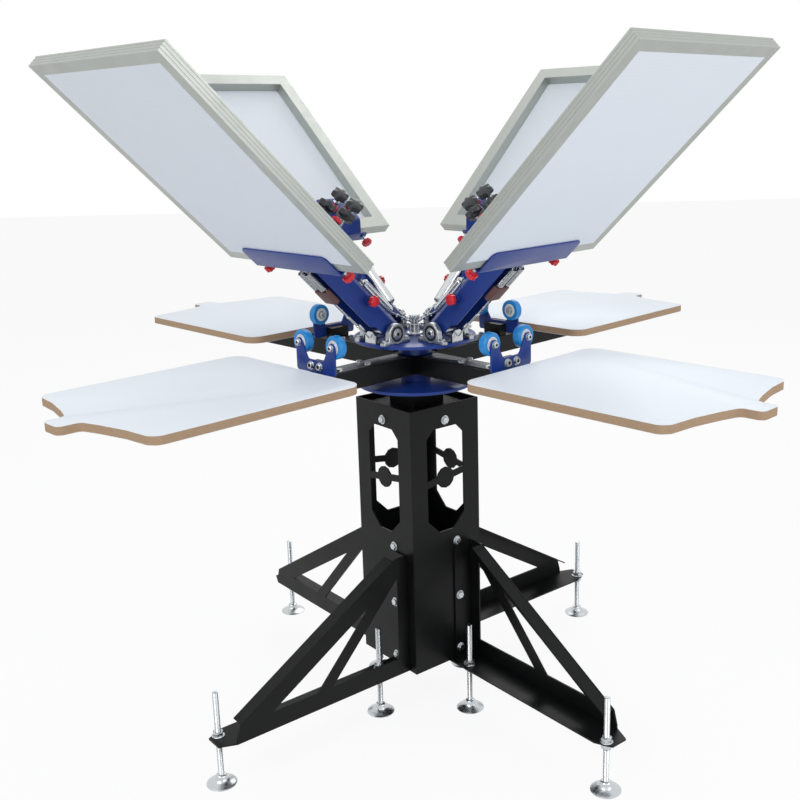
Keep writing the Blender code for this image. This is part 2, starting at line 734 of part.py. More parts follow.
def post_mesh():
    """The turned centre post, grooved for the lift springs' eyes."""
    low = UPPER_DISK_TOP + GAP
    groove = LINK_END_HEIGHT - POST_GROOVE / 2
    profile = [(POST_FLANGE_RADIUS, low), (POST_FLANGE_RADIUS, low + POST_FLANGE),
               (POST_RADIUS, low + POST_FLANGE), (POST_RADIUS, groove), (POST_GROOVE_RADIUS, groove),
               (POST_GROOVE_RADIUS, groove + POST_GROOVE), (POST_RADIUS, groove + POST_GROOVE),
               (POST_RADIUS, POST_TOP)]
    return turned(profile, WHEEL_SIDES)


def pivot_mesh():
    """Two pillow blocks with the shaft between them; X outwards, heights from the shaft's centre."""
    foot = UPPER_DISK_TOP + GAP - PIVOT_HEIGHT
    pieces = []
    base = None
    for side in (-1, 1):
        outline = [(-PILLOW_FOOT_HALF, foot), (PILLOW_FOOT_HALF, foot),
                   (PILLOW_FOOT_HALF, foot + PILLOW_FOOT), (PILLOW_WAIST_HALF, foot + PILLOW_FOOT)]
        outline += arc((0, 0), PILLOW_ROUND, 0, 180, ROUND_STEPS)
        outline += [(-PILLOW_WAIST_HALF, foot + PILLOW_FOOT), (-PILLOW_FOOT_HALF, foot + PILLOW_FOOT)]
        low = side * BLOCK_SPREAD - PILLOW_WIDTH / 2
        housing = slab(outline, low, low + PILLOW_WIDTH, "xz")
        insert = rod(INSERT_RADIUS, (0, low - INSERT_PROUD, 0), (0, low + PILLOW_WIDTH + INSERT_PROUD, 0),
                     FOOT_SIDES)
        pieces.append(insert)
        if base is None:
            base = housing
        else:
            pieces.append(housing)
    pieces.append(rod(SHAFT_RADIUS, (0, -SHAFT_HALF, 0), (0, SHAFT_HALF, 0), WHEEL_SIDES))
    return combined(base, add=pieces)


def arm_mesh():
    """The channel with its end plate, root cut, pivot bore, lug, spring stay and side knobs."""
    half = ARM_HALF
    wall = ARM_WALL
    top = ARM_TOP
    bevel = ARM_BEVEL
    section = [(-half, ARM_BOTTOM), (-half, top - bevel), (-half + bevel, top), (half - bevel, top),
               (half, top - bevel), (half, ARM_BOTTOM), (half - wall, ARM_BOTTOM),
               (half - wall, top - bevel - wall), (half - bevel, top - 2 * wall),
               (-half + bevel, top - 2 * wall), (-half + wall, top - bevel - wall),
               (-half + wall, ARM_BOTTOM)]
    channel = slab(section, ARM_BACK, ARM_END - wall, "yz")
    end_plate = slab(section[:6], ARM_END - 2 * wall, ARM_END, "yz")
    root = block((ARM_BACK - OVERRUN, ARM_ROOT_CUT), (-half - OVERRUN, half + OVERRUN),
                 (ARM_BOTTOM - OVERRUN, ARM_ROOT_BOTTOM))
    bore = rod(SHAFT_RADIUS + GAP, (0, -half - OVERRUN, 0), (0, half + OVERRUN, 0), WHEEL_SIDES)
    lug = block((LUG_REACH - LUG_LENGTH / 2, LUG_REACH + LUG_LENGTH / 2), (-LUG_HALF, LUG_HALF),
                (top - wall, top + LUG_HEIGHT))
    stay = block((SPRING_STAY_REACH, SPRING_STAY_REACH + SPRING_STAY_SHEET),
                 (-half + wall / 2, half - wall / 2), (ARM_BOTTOM - SPRING_STAY_DROP, ARM_BOTTOM + bevel))
    pieces = [end_plate, lug, stay]
    for side in (-1, 1):
        start = (SIDE_KNOB_REACH, side * (half - wall / 2), SIDE_KNOB_HEIGHT)
        knob_start = (SIDE_KNOB_REACH, side * SIDE_KNOB_START, SIDE_KNOB_HEIGHT)
        knob_end = (SIDE_KNOB_REACH, side * (SIDE_KNOB_START + KNOB_LENGTH), SIDE_KNOB_HEIGHT)
        stem_end = (SIDE_KNOB_REACH, side * (SIDE_KNOB_START + KNOB_LENGTH / 2), SIDE_KNOB_HEIGHT)
        pieces.append(rod(KNOB_STEM_RADIUS, start, stem_end, STEM_SIDES))
        pieces.append(rod(KNOB_RADIUS, knob_start, knob_end, PIN_SIDES))
    return combined(channel, add=pieces, cut=[root, bore])


def head_mesh():
    """The jaw, the back plate, the saddle over the arm, the clamp bar and the knobs, as one piece."""
    back = ARM_END + GAP
    back_end = back + BACK_PLATE_SHEET
    jaw_low = JAW_TOP - JAW_SHEET
    inside = back + BACK_PLATE_SHEET / 2
    jaw = slab([(inside, -JAW_HALF), (JAW_OUTER, -JAW_HALF), (JAW_OUTER, JAW_HALF), (inside, JAW_HALF)],
               jaw_low, JAW_TOP)
    plate = slab([(-BACK_PLATE_HALF, jaw_low + BITE), (BACK_PLATE_HALF, jaw_low + BITE),
                  (BACK_PLATE_HALF, BACK_PLATE_WING_TOP), (BACK_PLATE_SHOULDER, BACK_PLATE_WING_TOP),
                  (SADDLE_HALF - BITE, SADDLE_TOP - SADDLE_WALL / 2),
                  (-SADDLE_HALF + BITE, SADDLE_TOP - SADDLE_WALL / 2),
                  (-BACK_PLATE_SHOULDER, BACK_PLATE_WING_TOP),
                  (-BACK_PLATE_HALF, BACK_PLATE_WING_TOP)], back, back_end, "yz")
    saddle = slab([(SADDLE_START, SADDLE_BOTTOM), (SADDLE_END, SADDLE_BOTTOM), (SADDLE_END, SADDLE_TOP),
                   (SADDLE_START + SADDLE_BEVEL, SADDLE_TOP),
                   (SADDLE_START, SADDLE_TOP - SADDLE_BEVEL)], -SADDLE_HALF, SADDLE_HALF, "xz")
    wall = SADDLE_WALL
    mouth = SADDLE_BOTTOM - OVERRUN
    hollow = slab([(SADDLE_START + wall, mouth), (SADDLE_END - wall, mouth),
                   (SADDLE_END - wall, SADDLE_TOP - wall), (SADDLE_START + SADDLE_BEVEL, SADDLE_TOP - wall),
                   (SADDLE_START + wall, SADDLE_TOP - SADDLE_BEVEL)],
                  -SADDLE_HALF + wall, SADDLE_HALF - wall, "xz")
    saddle = combined(saddle, cut=[hollow])
    pieces = [plate, saddle]
    for side in (-1, 1):
        across = side * HEAD_KNOB_SPREAD
        tip = back - HEAD_KNOB_STAND
        pieces.append(rod(KNOB_STEM_RADIUS, (tip - KNOB_LENGTH / 2, across, HEAD_KNOB_HEIGHT),
                          (back + BACK_PLATE_SHEET / 2, across, HEAD_KNOB_HEIGHT), STEM_SIDES))
        pieces.append(rod(KNOB_RADIUS, (tip - KNOB_LENGTH, across, HEAD_KNOB_HEIGHT),
                          (tip, across, HEAD_KNOB_HEIGHT), PIN_SIDES))
    pad_low = SCREEN_UNDERSIDE + SCREEN_DEPTH + GAP
    for reach, foot, height in ((TOP_STAR_REACH, SADDLE_TOP - BITE, TOP_STAR_HEIGHT),
                                (CLAMP_STAR_REACH, pad_low + CLAMP_PAD / 2, CLAMP_STAR_HEIGHT)):
        stem_top = height + STAR_LENGTH / 2
        pieces.append(rod(STAR_STEM_RADIUS, (reach, 0, foot), (reach, 0, stem_top), STEM_SIDES))
        pieces.append(star(STAR_RADIUS, (reach, 0, height), STAR_LENGTH, STAR_LOBES, "Z"))
    pieces.append(rod(CLAMP_PAD_RADIUS, (CLAMP_STAR_REACH, 0, pad_low),
                      (CLAMP_STAR_REACH, 0, pad_low + CLAMP_PAD), PIN_SIDES))
    bar_low = pad_low + BITE
    bar_high = bar_low + CLAMP_BAR_SHEET
    pieces.append(block((back_end + CLAMP_BAR_GAP, JAW_OUTER - CLAMP_BAR_INSET),
                        (-CLAMP_BAR_HALF, CLAMP_BAR_HALF), (bar_low, bar_high)))
    for side in (-1, 1):
        across = side * BAR_KNOB_SPREAD
        foot = bar_high + BAR_KNOB_STAND
        pieces.append(rod(KNOB_STEM_RADIUS, (CLAMP_STAR_REACH, across, bar_high - CLAMP_BAR_SHEET / 2),
                          (CLAMP_STAR_REACH, across, foot + KNOB_LENGTH / 2), STEM_SIDES))
        pieces.append(rod(KNOB_RADIUS, (CLAMP_STAR_REACH, across, foot),
                          (CLAMP_STAR_REACH, across, foot + KNOB_LENGTH), PIN_SIDES))
    return combined(jaw, add=pieces)


def screen_mesh():
    """The frame and its mesh: a shallow tray, open upwards."""
    low = SCREEN_UNDERSIDE
    end = SCREEN_START + SCREEN_LENGTH
    half = SCREEN_WIDTH / 2
    rail = RAIL_WIDTH
    tray = block((SCREEN_START, end), (-half, half), (low, low + SCREEN_DEPTH))
    well = block((SCREEN_START + rail, end - rail), (-half + rail, half - rail),
                 (low + MESH_THICKNESS, low + SCREEN_DEPTH + OVERRUN))
    return combined(tray, cut=[well])


def in_arm_frame(radius, height):
    """A point of the carousel, at a radius and a height, in the raised arm's own frame."""
    out = radius - PIVOT_RADIUS
    up = height - PIVOT_HEIGHT
    return (out * math.cos(RAISE) + up * math.sin(RAISE), 0, -out * math.sin(RAISE) + up * math.cos(RAISE))


def lift_spring_mesh():
    """The spring's tube above the arm, its hook at the lug and its link to the centre post."""
    hook = (LUG_REACH - LUG_LENGTH / 2 - GAP, 0, TUBE_HEIGHT)
    top = (TUBE_TOP, 0, TUBE_HEIGHT)
    foot = (TUBE_FOOT, 0, TUBE_HEIGHT)
    post = in_arm_frame(POST_GROOVE_RADIUS + LINK_RADIUS / 2 + GAP, LINK_END_HEIGHT)
    cap_share = TUBE_CAP / (TUBE_TOP - TUBE_FOOT)
    slim = TUBE_RADIUS - LINK_RADIUS
    tube = lathe_between([(slim, 0), (TUBE_RADIUS, cap_share), (TUBE_RADIUS, 1 - cap_share), (slim, 1)],
                         foot, top, TUBE_SIDES)
    swell = LINK_SWELL_RADIUS
    start = LINK_SWELL_START_SHARE
    stop = LINK_SWELL_END_SHARE
    link = lathe_between([(LINK_RADIUS, 0), (LINK_RADIUS, start - LINK_TAPER_SHARE), (swell, start),
                          (swell, stop), (LINK_RADIUS, stop + LINK_TAPER_SHARE), (LINK_RADIUS, 1)],
                         (TUBE_FOOT + TUBE_CAP, 0, TUBE_HEIGHT), post, PIN_SIDES)
    top_rod = rod(LINK_RADIUS, (TUBE_TOP - TUBE_CAP, 0, TUBE_HEIGHT), hook)
    return combined(tube, add=[link, top_rod])


def coil_path():
    """The wire's centre line: out along one coil, back at the stay and in along the other."""
    run = COIL_END - COIL_START
    steps = CURLS * POINTS_PER_CURL
    tail = SLEEVE_END - TAIL_SINK
    near = []
    for step in range(steps + 1):
        share = step / steps
        angle = FULL_TURN * CURLS * share
        near.append((COIL_START + run * share, -COIL_SPREAD - COIL_RADIUS * math.cos(angle),
                     COIL_HEIGHT + COIL_RADIUS * math.sin(angle)))
    first = near[0]
    lead = [(tail, first[1], first[2]), ((tail + first[0]) / 2, first[1], first[2])]
    last = near[-1]
    hook = SPRING_STAY_REACH - GAP - WIRE_RADIUS
    turn_back = [(hook - WIRE_RADIUS, last[1] / 2, last[2]), (hook, 0, last[2])]
    half = lead + near + turn_back
    mirrored = [(x, -y, z) for x, y, z in reversed(half[:-1])]
    return half + mirrored


def least_gap(points):
    """The least clear distance between two stretches of the wire that aren't neighbours."""
    least = math.inf
    skip = POINTS_PER_CURL // 2 + 1
    for index, point in enumerate(points):
        for other in points[index + skip:]:
            least = min(least, (Vector(point) - Vector(other)).length)
    return least - 2 * WIRE_RADIUS


def wire_mesh(points):
    """A round wire along the points, six-sided, with closed ends."""
    sides = 6
    bm = bmesh.new()
    vectors = [Vector(point) for point in points]
    rings = []
    normal = Vector((0, 0, 1))
    for index, point in enumerate(vectors):
        before = vectors[max(index - 1, 0)]
        after = vectors[min(index + 1, len(vectors) - 1)]
        along = (after - before).normalized()
        normal = (normal - along * normal.dot(along)).normalized()
        across = along.cross(normal)
        ring = []
        for side in range(sides):
            angle = FULL_TURN * side / sides
            reach = normal * math.cos(angle) + across * math.sin(angle)
            ring.append(bm.verts.new(point + reach * WIRE_RADIUS))
        rings.append(ring)
    for ring, other in zip(rings, rings[1:]):
        for side in range(sides):
            after = (side + 1) % sides
            bm.faces.new((ring[side], ring[after], other[after], other[side]))
    bm.faces.new(rings[0])
    bm.faces.new(rings[-1])
    return mesh_from(bm, "wire")


def under_spring_mesh():
    """The twin coils, the sleeve over their ends and the link down to the spring post."""
    points = coil_path()
    print("twin spring, least gap to itself in mm:", round(least_gap(points) * 1000, 2))
    wire = wire_mesh(points)
    low = COIL_HEIGHT - SLEEVE_HALF_HEIGHT
    high = COIL_HEIGHT + SLEEVE_HALF_HEIGHT
    corners = [(-SLEEVE_HALF, low), (SLEEVE_HALF, low), (SLEEVE_HALF, high), (-SLEEVE_HALF, high)]
    sleeve = slab(rounded(corners, [SLEEVE_CORNER] * 4), SLEEVE_START, SLEEVE_END, "yz")
    lean = LOWER_LINK_RADIUS * math.sin(RAISE)
    end = in_arm_frame(ANCHOR_RADIUS + GAP + lean, UPPER_DISK_TOP + ANCHOR_HEIGHT / 2)
    start = LINK_SWELL_START_SHARE
    stop = LINK_SWELL_END_SHARE
    swell = LOWER_LINK_SWELL
    slim = LOWER_LINK_RADIUS
    link = lathe_between([(slim, 0), (slim, start - LINK_TAPER_SHARE), (swell, start), (swell, stop),
                          (slim, stop + LINK_TAPER_SHARE), (slim, 1)],
                         (SLEEVE_START + TAIL_SINK, 0, COIL_HEIGHT), end, PIN_SIDES)
    return combined(sleeve, add=[link, wire])


for leftover in list(bpy.data.objects):
    bpy.data.objects.remove(leftover)

black = finish("black powder coat", colour_of(0.020, 0.021, 0.022), 0.45, 0.0)
blue = finish("blue powder coat", colour_of(0.030, 0.075, 0.330), 0.35, 0.0)
zinc = finish("zinc plate", colour_of(0.62, 0.64, 0.66), 0.35, 1.0)
chrome = finish("chrome plate", colour_of(0.78, 0.80, 0.82), 0.15, 1.0)
cast = finish("grey casting", colour_of(0.36, 0.38, 0.38), 0.5, 0.3)
laminate = finish("white laminate board", colour_of(0.80, 0.83, 0.86), 0.35, 0.0)
tyre = finish("blue polyurethane", colour_of(0.02, 0.30, 0.72), 0.4, 0.0)
aluminium = finish("satin aluminium", colour_of(0.70, 0.72, 0.71), 0.4, 0.9)

base = frame("base", rotation=(0, 0, BASE_TURN))
pallet_carousel = frame("pallet_carousel", rotation=(0, 0, HEAD_TURN))
print_carousel = frame("print_carousel", rotation=(0, 0, HEAD_TURN))
first_bearing = math.radians(STATIONS["front_right"])

place("column", column_mesh(), black, base, first_bearing, False)
place("spindle_housing", housing_mesh(), black, base, first_bearing, False)
place("spindle", rod(SPINDLE_RADIUS, (0, 0, SPINDLE_BOTTOM), (0, 0, SPINDLE_TOP), ROUND_SIDES), chrome, base)
lower_boss_top = LOWER_DISK_BOTTOM + DISK_THICKNESS + THRUST_HEIGHT
place("lower_disk", ring_disk(LOWER_DISK_RADIUS, LOWER_DISK_BOTTOM, THRUST_RADIUS, LOWER_DISK_BOTTOM,
                              lower_boss_top), blue, base)

leg = leg_mesh()
foot = foot_mesh()
for station, bearing in STATIONS.items():
    turn = math.radians(bearing)
    place("leg_" + station, leg, black, base, turn, False)
    for role, reach in (("inner", INNER_FOOT), ("outer", OUTER_FOOT)):
        piece = place("levelling_foot_" + role + "_" + station, foot, zinc, base, turn)
        piece.location = Matrix.Rotation(turn, 3, "Z") @ Vector((reach, FOOT_LINE, 0))

place("pallet_spider", spider_mesh(), black, pallet_carousel, first_bearing, False)
pallet = pallet_mesh()
gate = gate_mesh()
roller = roller_mesh()
roller_reach = GATE_FACE - GAP - ROLLER_WIDTH / 2
for station, bearing in STATIONS.items():
    turn = math.radians(bearing)
    place("pallet_" + station, pallet, laminate, pallet_carousel, turn, False)
    place("registration_gate_" + station, gate, blue, pallet_carousel, turn, False)
    for role, across in (("right", -AXLE_SPREAD), ("left", AXLE_SPREAD)):
        piece = place("gate_roller_" + role + "_" + station, roller, tyre, pallet_carousel, turn)
        piece.location = Matrix.Rotation(turn, 3, "Z") @ Vector((roller_reach, across, AXLE_HEIGHT))

place("upper_disk", upper_disk_mesh(), blue, print_carousel, first_bearing)
place("centre_post", post_mesh(), chrome, print_carousel)
pivot = pivot_mesh()
arm = arm_mesh()
head = head_mesh()
screen = screen_mesh()
lift_spring = lift_spring_mesh()
under_spring = under_spring_mesh()
for station, bearing in STATIONS.items():
    turn = math.radians(bearing)
    hinge_place = Matrix.Rotation(turn, 3, "Z") @ Vector((PIVOT_RADIUS, 0, PIVOT_HEIGHT))
    piece = place("pivot_bearings_" + station, pivot, cast, print_carousel, turn)
    piece.location = hinge_place
    lift = frame("arm_lift_" + station, hinge_place, (0, -RAISE, turn), print_carousel)
    place("print_arm_" + station, arm, blue, lift, round_piece=False)
    place("clamp_head_" + station, head, blue, lift, round_piece=False)
    place("screen_" + station, screen, aluminium, lift, round_piece=False)
    place("lift_spring_" + station, lift_spring, chrome, lift)
    place("twin_spring_" + station, under_spring, zinc, lift)
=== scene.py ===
import math

import bpy
import numpy as np
from mathutils import Euler, Matrix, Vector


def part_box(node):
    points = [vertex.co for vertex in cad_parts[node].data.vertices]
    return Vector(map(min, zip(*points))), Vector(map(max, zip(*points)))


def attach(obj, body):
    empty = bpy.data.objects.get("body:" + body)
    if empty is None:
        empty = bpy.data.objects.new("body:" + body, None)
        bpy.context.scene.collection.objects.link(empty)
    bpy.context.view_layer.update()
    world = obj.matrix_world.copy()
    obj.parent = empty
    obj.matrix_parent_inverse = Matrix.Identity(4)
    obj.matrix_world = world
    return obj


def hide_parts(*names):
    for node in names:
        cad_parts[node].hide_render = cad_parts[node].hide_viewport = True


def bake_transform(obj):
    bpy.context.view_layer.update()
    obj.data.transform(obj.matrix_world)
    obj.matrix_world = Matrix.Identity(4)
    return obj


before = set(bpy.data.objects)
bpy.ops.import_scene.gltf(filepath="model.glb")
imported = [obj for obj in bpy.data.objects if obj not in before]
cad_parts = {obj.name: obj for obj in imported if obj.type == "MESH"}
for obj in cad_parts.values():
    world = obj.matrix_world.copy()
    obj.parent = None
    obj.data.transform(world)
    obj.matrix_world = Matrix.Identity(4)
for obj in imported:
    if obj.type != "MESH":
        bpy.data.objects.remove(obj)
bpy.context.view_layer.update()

# ---- Studio ----
# A white infinity floor, three large soft lamps and an even sky. The camera stands 2.5 m in front
# of the press, 1.47 m above the floor, and looks 14 degrees down, as in the photograph.
scene = bpy.context.scene
scene.view_settings.view_transform = "Standard"


def linear(code):
    """An sRGB hex colour as linear red, green, blue and an alpha of 1."""
    shares = [int(code[at:at + 2], 16) / 255 for at in (0, 2, 4)]
    return tuple(c / 12.92 if c <= 0.04045 else ((c + 0.055) / 1.055) ** 2.4 for c in shares) + (1.0,)


def add_node(tree, kind, values={}, **settings):
    """One node with its settings; a value that is a socket is linked, any other is set."""
    node = tree.nodes.new(kind)
    for name, value in settings.items():
        setattr(node, name, value)
    for name, value in values.items():
        if isinstance(value, bpy.types.NodeSocket):
            tree.links.new(value, node.inputs[name])
        else:
            node.inputs[name].default_value = value
    return node


def studio_camera():
    """The photograph's camera: its lens on a 36 mm frame, its shift, place, tilt and slight roll."""
    data = bpy.data.cameras.new("camera")
    data.sensor_width = 36
    data.lens = 47.15
    data.shift_x = -0.0342
    data.shift_y = -0.0256
    camera = bpy.data.objects.new("camera", data)
    scene.collection.objects.link(camera)
    tilt = Euler((math.pi / 2 - 0.2417, 0, 0)).to_matrix().to_4x4()
    place = Matrix.Translation((0.0283, -2.5275, 1.466))
    camera.matrix_world = place @ tilt @ Matrix.Rotation(-0.0242, 4, "Z")
    scene.camera = camera


def soft_lamp(name, place, aim, size, power):
    """A round lamp so many metres across and so many watts strong, turned to face its aim."""
    data = bpy.data.lights.new(name, "AREA")
    data.shape = "DISK"
    data.size = size
    data.energy = power
    lamp = bpy.data.objects.new(name, data)
    scene.collection.objects.link(lamp)
    lamp.location = place
    way = Matrix.Translation(place).inverted() @ Matrix.Translation(aim)
    lamp.rotation_euler = way.translation.to_track_quat("-Z", "Y").to_euler()


studio_camera()
soft_lamp("key", (-2.2, -3.0, 3.6), (0, 0, 0.9), 2.4, 76)
soft_lamp("fill", (3.0, -2.4, 2.2), (0, 0, 1.0), 2.6, 47)
soft_lamp("back", (0.6, 3.2, 3.4), (0, 0, 1.0), 2.6, 47)


def looked_at(tree):
    """1 for a ray from the camera or off a gloss, which sees plain white, and 0 for one that lights."""
    ray = add_node(tree, "ShaderNodeLightPath")
    either = {0: ray.outputs["Is Camera Ray"], 1: ray.outputs["Is Glossy Ray"]}
    return add_node(tree, "ShaderNodeMath", either, operation="MAXIMUM").outputs[0]


world = bpy.data.worlds.new("studio sky")
scene.world = world
world.use_nodes = True
sky = world.node_tree
sky.nodes.clear()
dim = add_node(sky, "ShaderNodeBackground", {"Color": linear("F2F4F6"), "Strength": 0.56})
lit = add_node(sky, "ShaderNodeBackground", {"Color": linear("FFFFFF"), "Strength": 1.0})
blend = add_node(sky, "ShaderNodeMixShader", {0: looked_at(sky), 1: dim.outputs[0], 2: lit.outputs[0]})
add_node(sky, "ShaderNodeOutputWorld", {"Surface": blend.outputs[0]})

floor_paint = bpy.data.materials.new("matt white floor paint")
floor_paint.use_nodes = True
tree = floor_paint.node_tree
tree.nodes.clear()
paint = add_node(tree, "ShaderNodeBsdfDiffuse", {"Color": linear("F4F4F4")})
glow = add_node(tree, "ShaderNodeEmission", {"Color": linear("FFFFFF"), "Strength": 1.0})
own = add_node(tree, "ShaderNodeMixShader", {0: 0.9, 1: paint.outputs[0], 2: glow.outputs[0]})
mixed = add_node(tree, "ShaderNodeMixShader", {0: looked_at(tree), 1: paint.outputs[0], 2: own.outputs[0]})
add_node(tree, "ShaderNodeOutputMaterial", {"Surface": mixed.outputs[0]})
floor_mesh = bpy.data.meshes.new("floor")
floor_mesh.from_pydata([(-14, -9, 0), (14, -9, 0), (14, 16, 0), (-14, 16, 0)], [], [(0, 1, 2, 3)])
floor_mesh.materials.append(floor_paint)
floor = bpy.data.objects.new("floor", floor_mesh)
scene.collection.objects.link(floor)

# ---- Levelling feet ----
# Eight bright zinc-plated feet: a pressed dish turns on the ball end of an M14 stud, which a nut
# above and one below the leg's flange hold at the height that levels the press.
STATIONS = {"front_right": -45.0, "back_right": 45.0, "back_left": 135.0, "front_left": 225.0}
# Degrees that the column and legs, and that both carousels, stand off those bearings
BASE_TURN = -6.0
HEAD_TURN = -0.5
# The stud: crest and core radius, thread pitch, lowest and highest point
STUD, STUD_CORE, PITCH, STUD_LOW, STUD_TOP = 7.0, 6.1, 2.0, 23, 231.8
# The nuts' flats, height and chamfer, and the two sides of the leg's flange between them
NUT = (22.4, 11.3, 1.4)
FLANGE_UNDER, FLANGE_TOP = 118.0, 122.0
FOOT_REACH = {"inner": 161, "outer": 618}
FOOT_LINE = 22


def skin(rings, closed=False):
    """Points and quads of a skin over rings of equal length; open ends get a flat cap each."""
    rings = np.asarray(rings, float)
    count, size = rings.shape[:2]
    index = np.arange(count * size).reshape(count, size)
    last = np.roll(index, -1, axis=0) if closed else index[1:]
    first = index if closed else index[:-1]
    quads = np.stack([first, np.roll(first, -1, 1), np.roll(last, -1, 1), last], -1).reshape(-1, 4)
    faces = quads.tolist()
    if not closed:
        faces += [index[0][::-1].tolist(), index[-1].tolist()]
    return rings.reshape(-1, 3), faces


def around(radius, height, angle):
    """Rings about Z, one for each row of heights: x, y = r cos a, r sin a."""
    x, y = radius * np.cos(angle), radius * np.sin(angle)
    return np.stack([x, y, np.broadcast_to(height, x.shape)], -1)


def turned(profile, sides=32, lobes=0, depth=0.0):
    """A profile of (radius, height) rows turned about Z, with the radius lowered by depth times a
    cosine of lobes turns, so that lobes bumps stand round it."""
    profile = np.asarray(profile, float)
    angle = np.linspace(0, 2 * np.pi, sides, endpoint=False)
    radius = profile[:, :1] * (1 - depth * (0.5 - 0.5 * np.cos(lobes * angle)))[None, :]
    return skin(around(radius, profile[:, 1:2], angle))


def bored(profile, sides=32):
    """A closed profile of (radius, height) rows turned about Z, with its hole left open."""
    profile = np.asarray(profile, float)
    angle = np.linspace(0, 2 * np.pi, sides, endpoint=False)
    return skin(around(profile[:, :1], profile[:, 1:2], angle), closed=True)


def screw(core, crest, pitch, low, high, sides=16, rows=6):
    """A threaded rod: the radius rises from core to crest and back once a pitch, along a helix."""
    height = np.arange(low, high, pitch / rows)
    angle = np.linspace(0, 2 * np.pi, sides, endpoint=False)
    phase = (height[:, None] / pitch - angle[None, :] / (2 * np.pi)) % 1
    radius = core + (crest - core) * (1 - np.abs(2 * phase - 1))
    ends = np.minimum(1, np.minimum(height - low, height[-1] - height) / pitch + 0.55)[:, None]
    return skin(around(radius * ends, height[:, None], angle))


def laid(part, at, axis=(0, 0, 1)):
    """A part turned so that its Z axis lies along the axis, and moved to its place."""
    points, faces = part
    z = np.asarray(axis, float) / np.linalg.norm(axis)
    helper = np.array([1.0, 0, 0]) if abs(z[0]) < 0.9 else np.array([0, 1.0, 0])
    x = helper - z * helper.dot(z)
    x /= np.linalg.norm(x)
    y = np.cross(z, x)
    return points @ np.stack([x, y, z]) + np.asarray(at, float), faces


def joined(*parts):
    """Several parts as one set of points and faces."""
    points, faces, start = [], [], 0
    for part_points, part_faces in parts:
        points.append(part_points)
        faces += [[at + start for at in face] for face in part_faces]
        start += len(part_points)
    return np.concatenate(points), faces


def at_bearing(part, bearing):
    """A part in millimetres, outwards along X, set at a bearing round the axis, in metres."""
    points, faces = part
    a = math.radians(bearing)
    turn = np.array([[math.cos(a), math.sin(a), 0], [-math.sin(a), math.cos(a), 0], [0, 0, 1]])
    return points @ turn * 0.001, faces


def piece(name, part, material, body, replaced=(), sharp=32):
    """A named mesh of the part, smooth but for edges sharper than so many degrees, on its body; with a body that is
    not a name, it stays where it is, its transform applied."""
    points, faces = part
    mesh = bpy.data.meshes.new(name)
    mesh.from_pydata(points.tolist(), [], faces)
    mesh.materials.append(material)
    mesh.shade_smooth()
    mesh.set_sharp_from_angle(angle=math.radians(sharp))
    made = bpy.data.objects.new(name, mesh)
    scene.collection.objects.link(made)
    if isinstance(body, str):
        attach(made, body)
    else:
        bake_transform(made)
    if replaced:
        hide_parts(*replaced)
    return made


def per_mm(size):
    """The scale of a noise whose features are so many millimetres across."""
    return 1000 / size


def new_finish(name, plain):
    """A material with its shader's plain inputs set, its node tree, its shader and its own place."""
    material = bpy.data.materials.new(name)
    material.use_nodes = True
    tree = material.node_tree
    shader = tree.nodes["Principled BSDF"]
    for socket, value in plain.items():
        shader.inputs[socket].default_value = value
    return material, tree, shader, add_node(tree, "ShaderNodeTexCoord").outputs["Object"]


def misted(tree, shader, cloud, least, most, relief, strength, depth):
    """A surface that isn't even: its roughness goes from least to most with the cloud's noise, and
    the relief's noise tips its normals by a strength, as if it were so many metres deep."""
    mist = add_node(tree, "ShaderNodeMapRange", {"Value": cloud, "From Min": 0.3, "From Max": 0.7,
                                                 "To Min": least, "To Max": most})
    bumps = add_node(tree, "ShaderNodeBump", {"Height": relief, "Strength": strength, "Distance": depth})
    tree.links.new(mist.outputs[0], shader.inputs["Roughness"])
    tree.links.new(bumps.outputs[0], shader.inputs["Normal"])


def metal(name, code, rough, spread, grain_mm, bump=0.02):
    """A bare or plated metal: noise of the grain's size varies its roughness and its height."""
    material, tree, shader, place = new_finish(name, {"Base Color": linear(code), "Metallic": 1.0})
    grain = add_node(tree, "ShaderNodeTexNoise", {"Vector": place, "Scale": per_mm(grain_mm), "Detail": 4.0})
    grain = grain.outputs["Fac"]
    misted(tree, shader, grain, rough - spread, rough + spread, grain, bump, 0.001)
    return material


# Bright zinc plating on turned and pressed steel: soft, slightly cloudy highlights
zinc = metal("bright zinc-plated steel", "C9CDD0", 0.30, 0.08, 6.0)


def hexagon(flats, height, chamfer=0.9):
    """A hex head or nut standing on Z = 0: six flats with the top corners turned off."""
    radius = flats / math.sqrt(3)
    angle = np.linspace(0, 2 * np.pi, 6, endpoint=False)
    rows = np.array([(radius - chamfer / 2, 0), (radius, chamfer / 2), (radius, height - chamfer),
                     (radius - chamfer, height)])
    return skin(around(rows[:, :1], rows[:, 1:2], angle))


def washer(outer, thick):
    """A flat round washer on Z = 0, whose rim is broken by 0.3 mm."""
    return turned([(outer - 0.3, 0), (outer, 0.3), (outer, thick - 0.3), (outer - 0.3, thick)], 24)


def hex_screw(washer_size, flats, height, sunk, at, axis=(0, 0, 1)):
    """A hex head on its washer of (radius, thickness), its lower edge sunk so far above Z = 0."""
    return laid(joined(washer(*washer_size), laid(hexagon(flats, height), (0, 0, sunk))), at, axis)


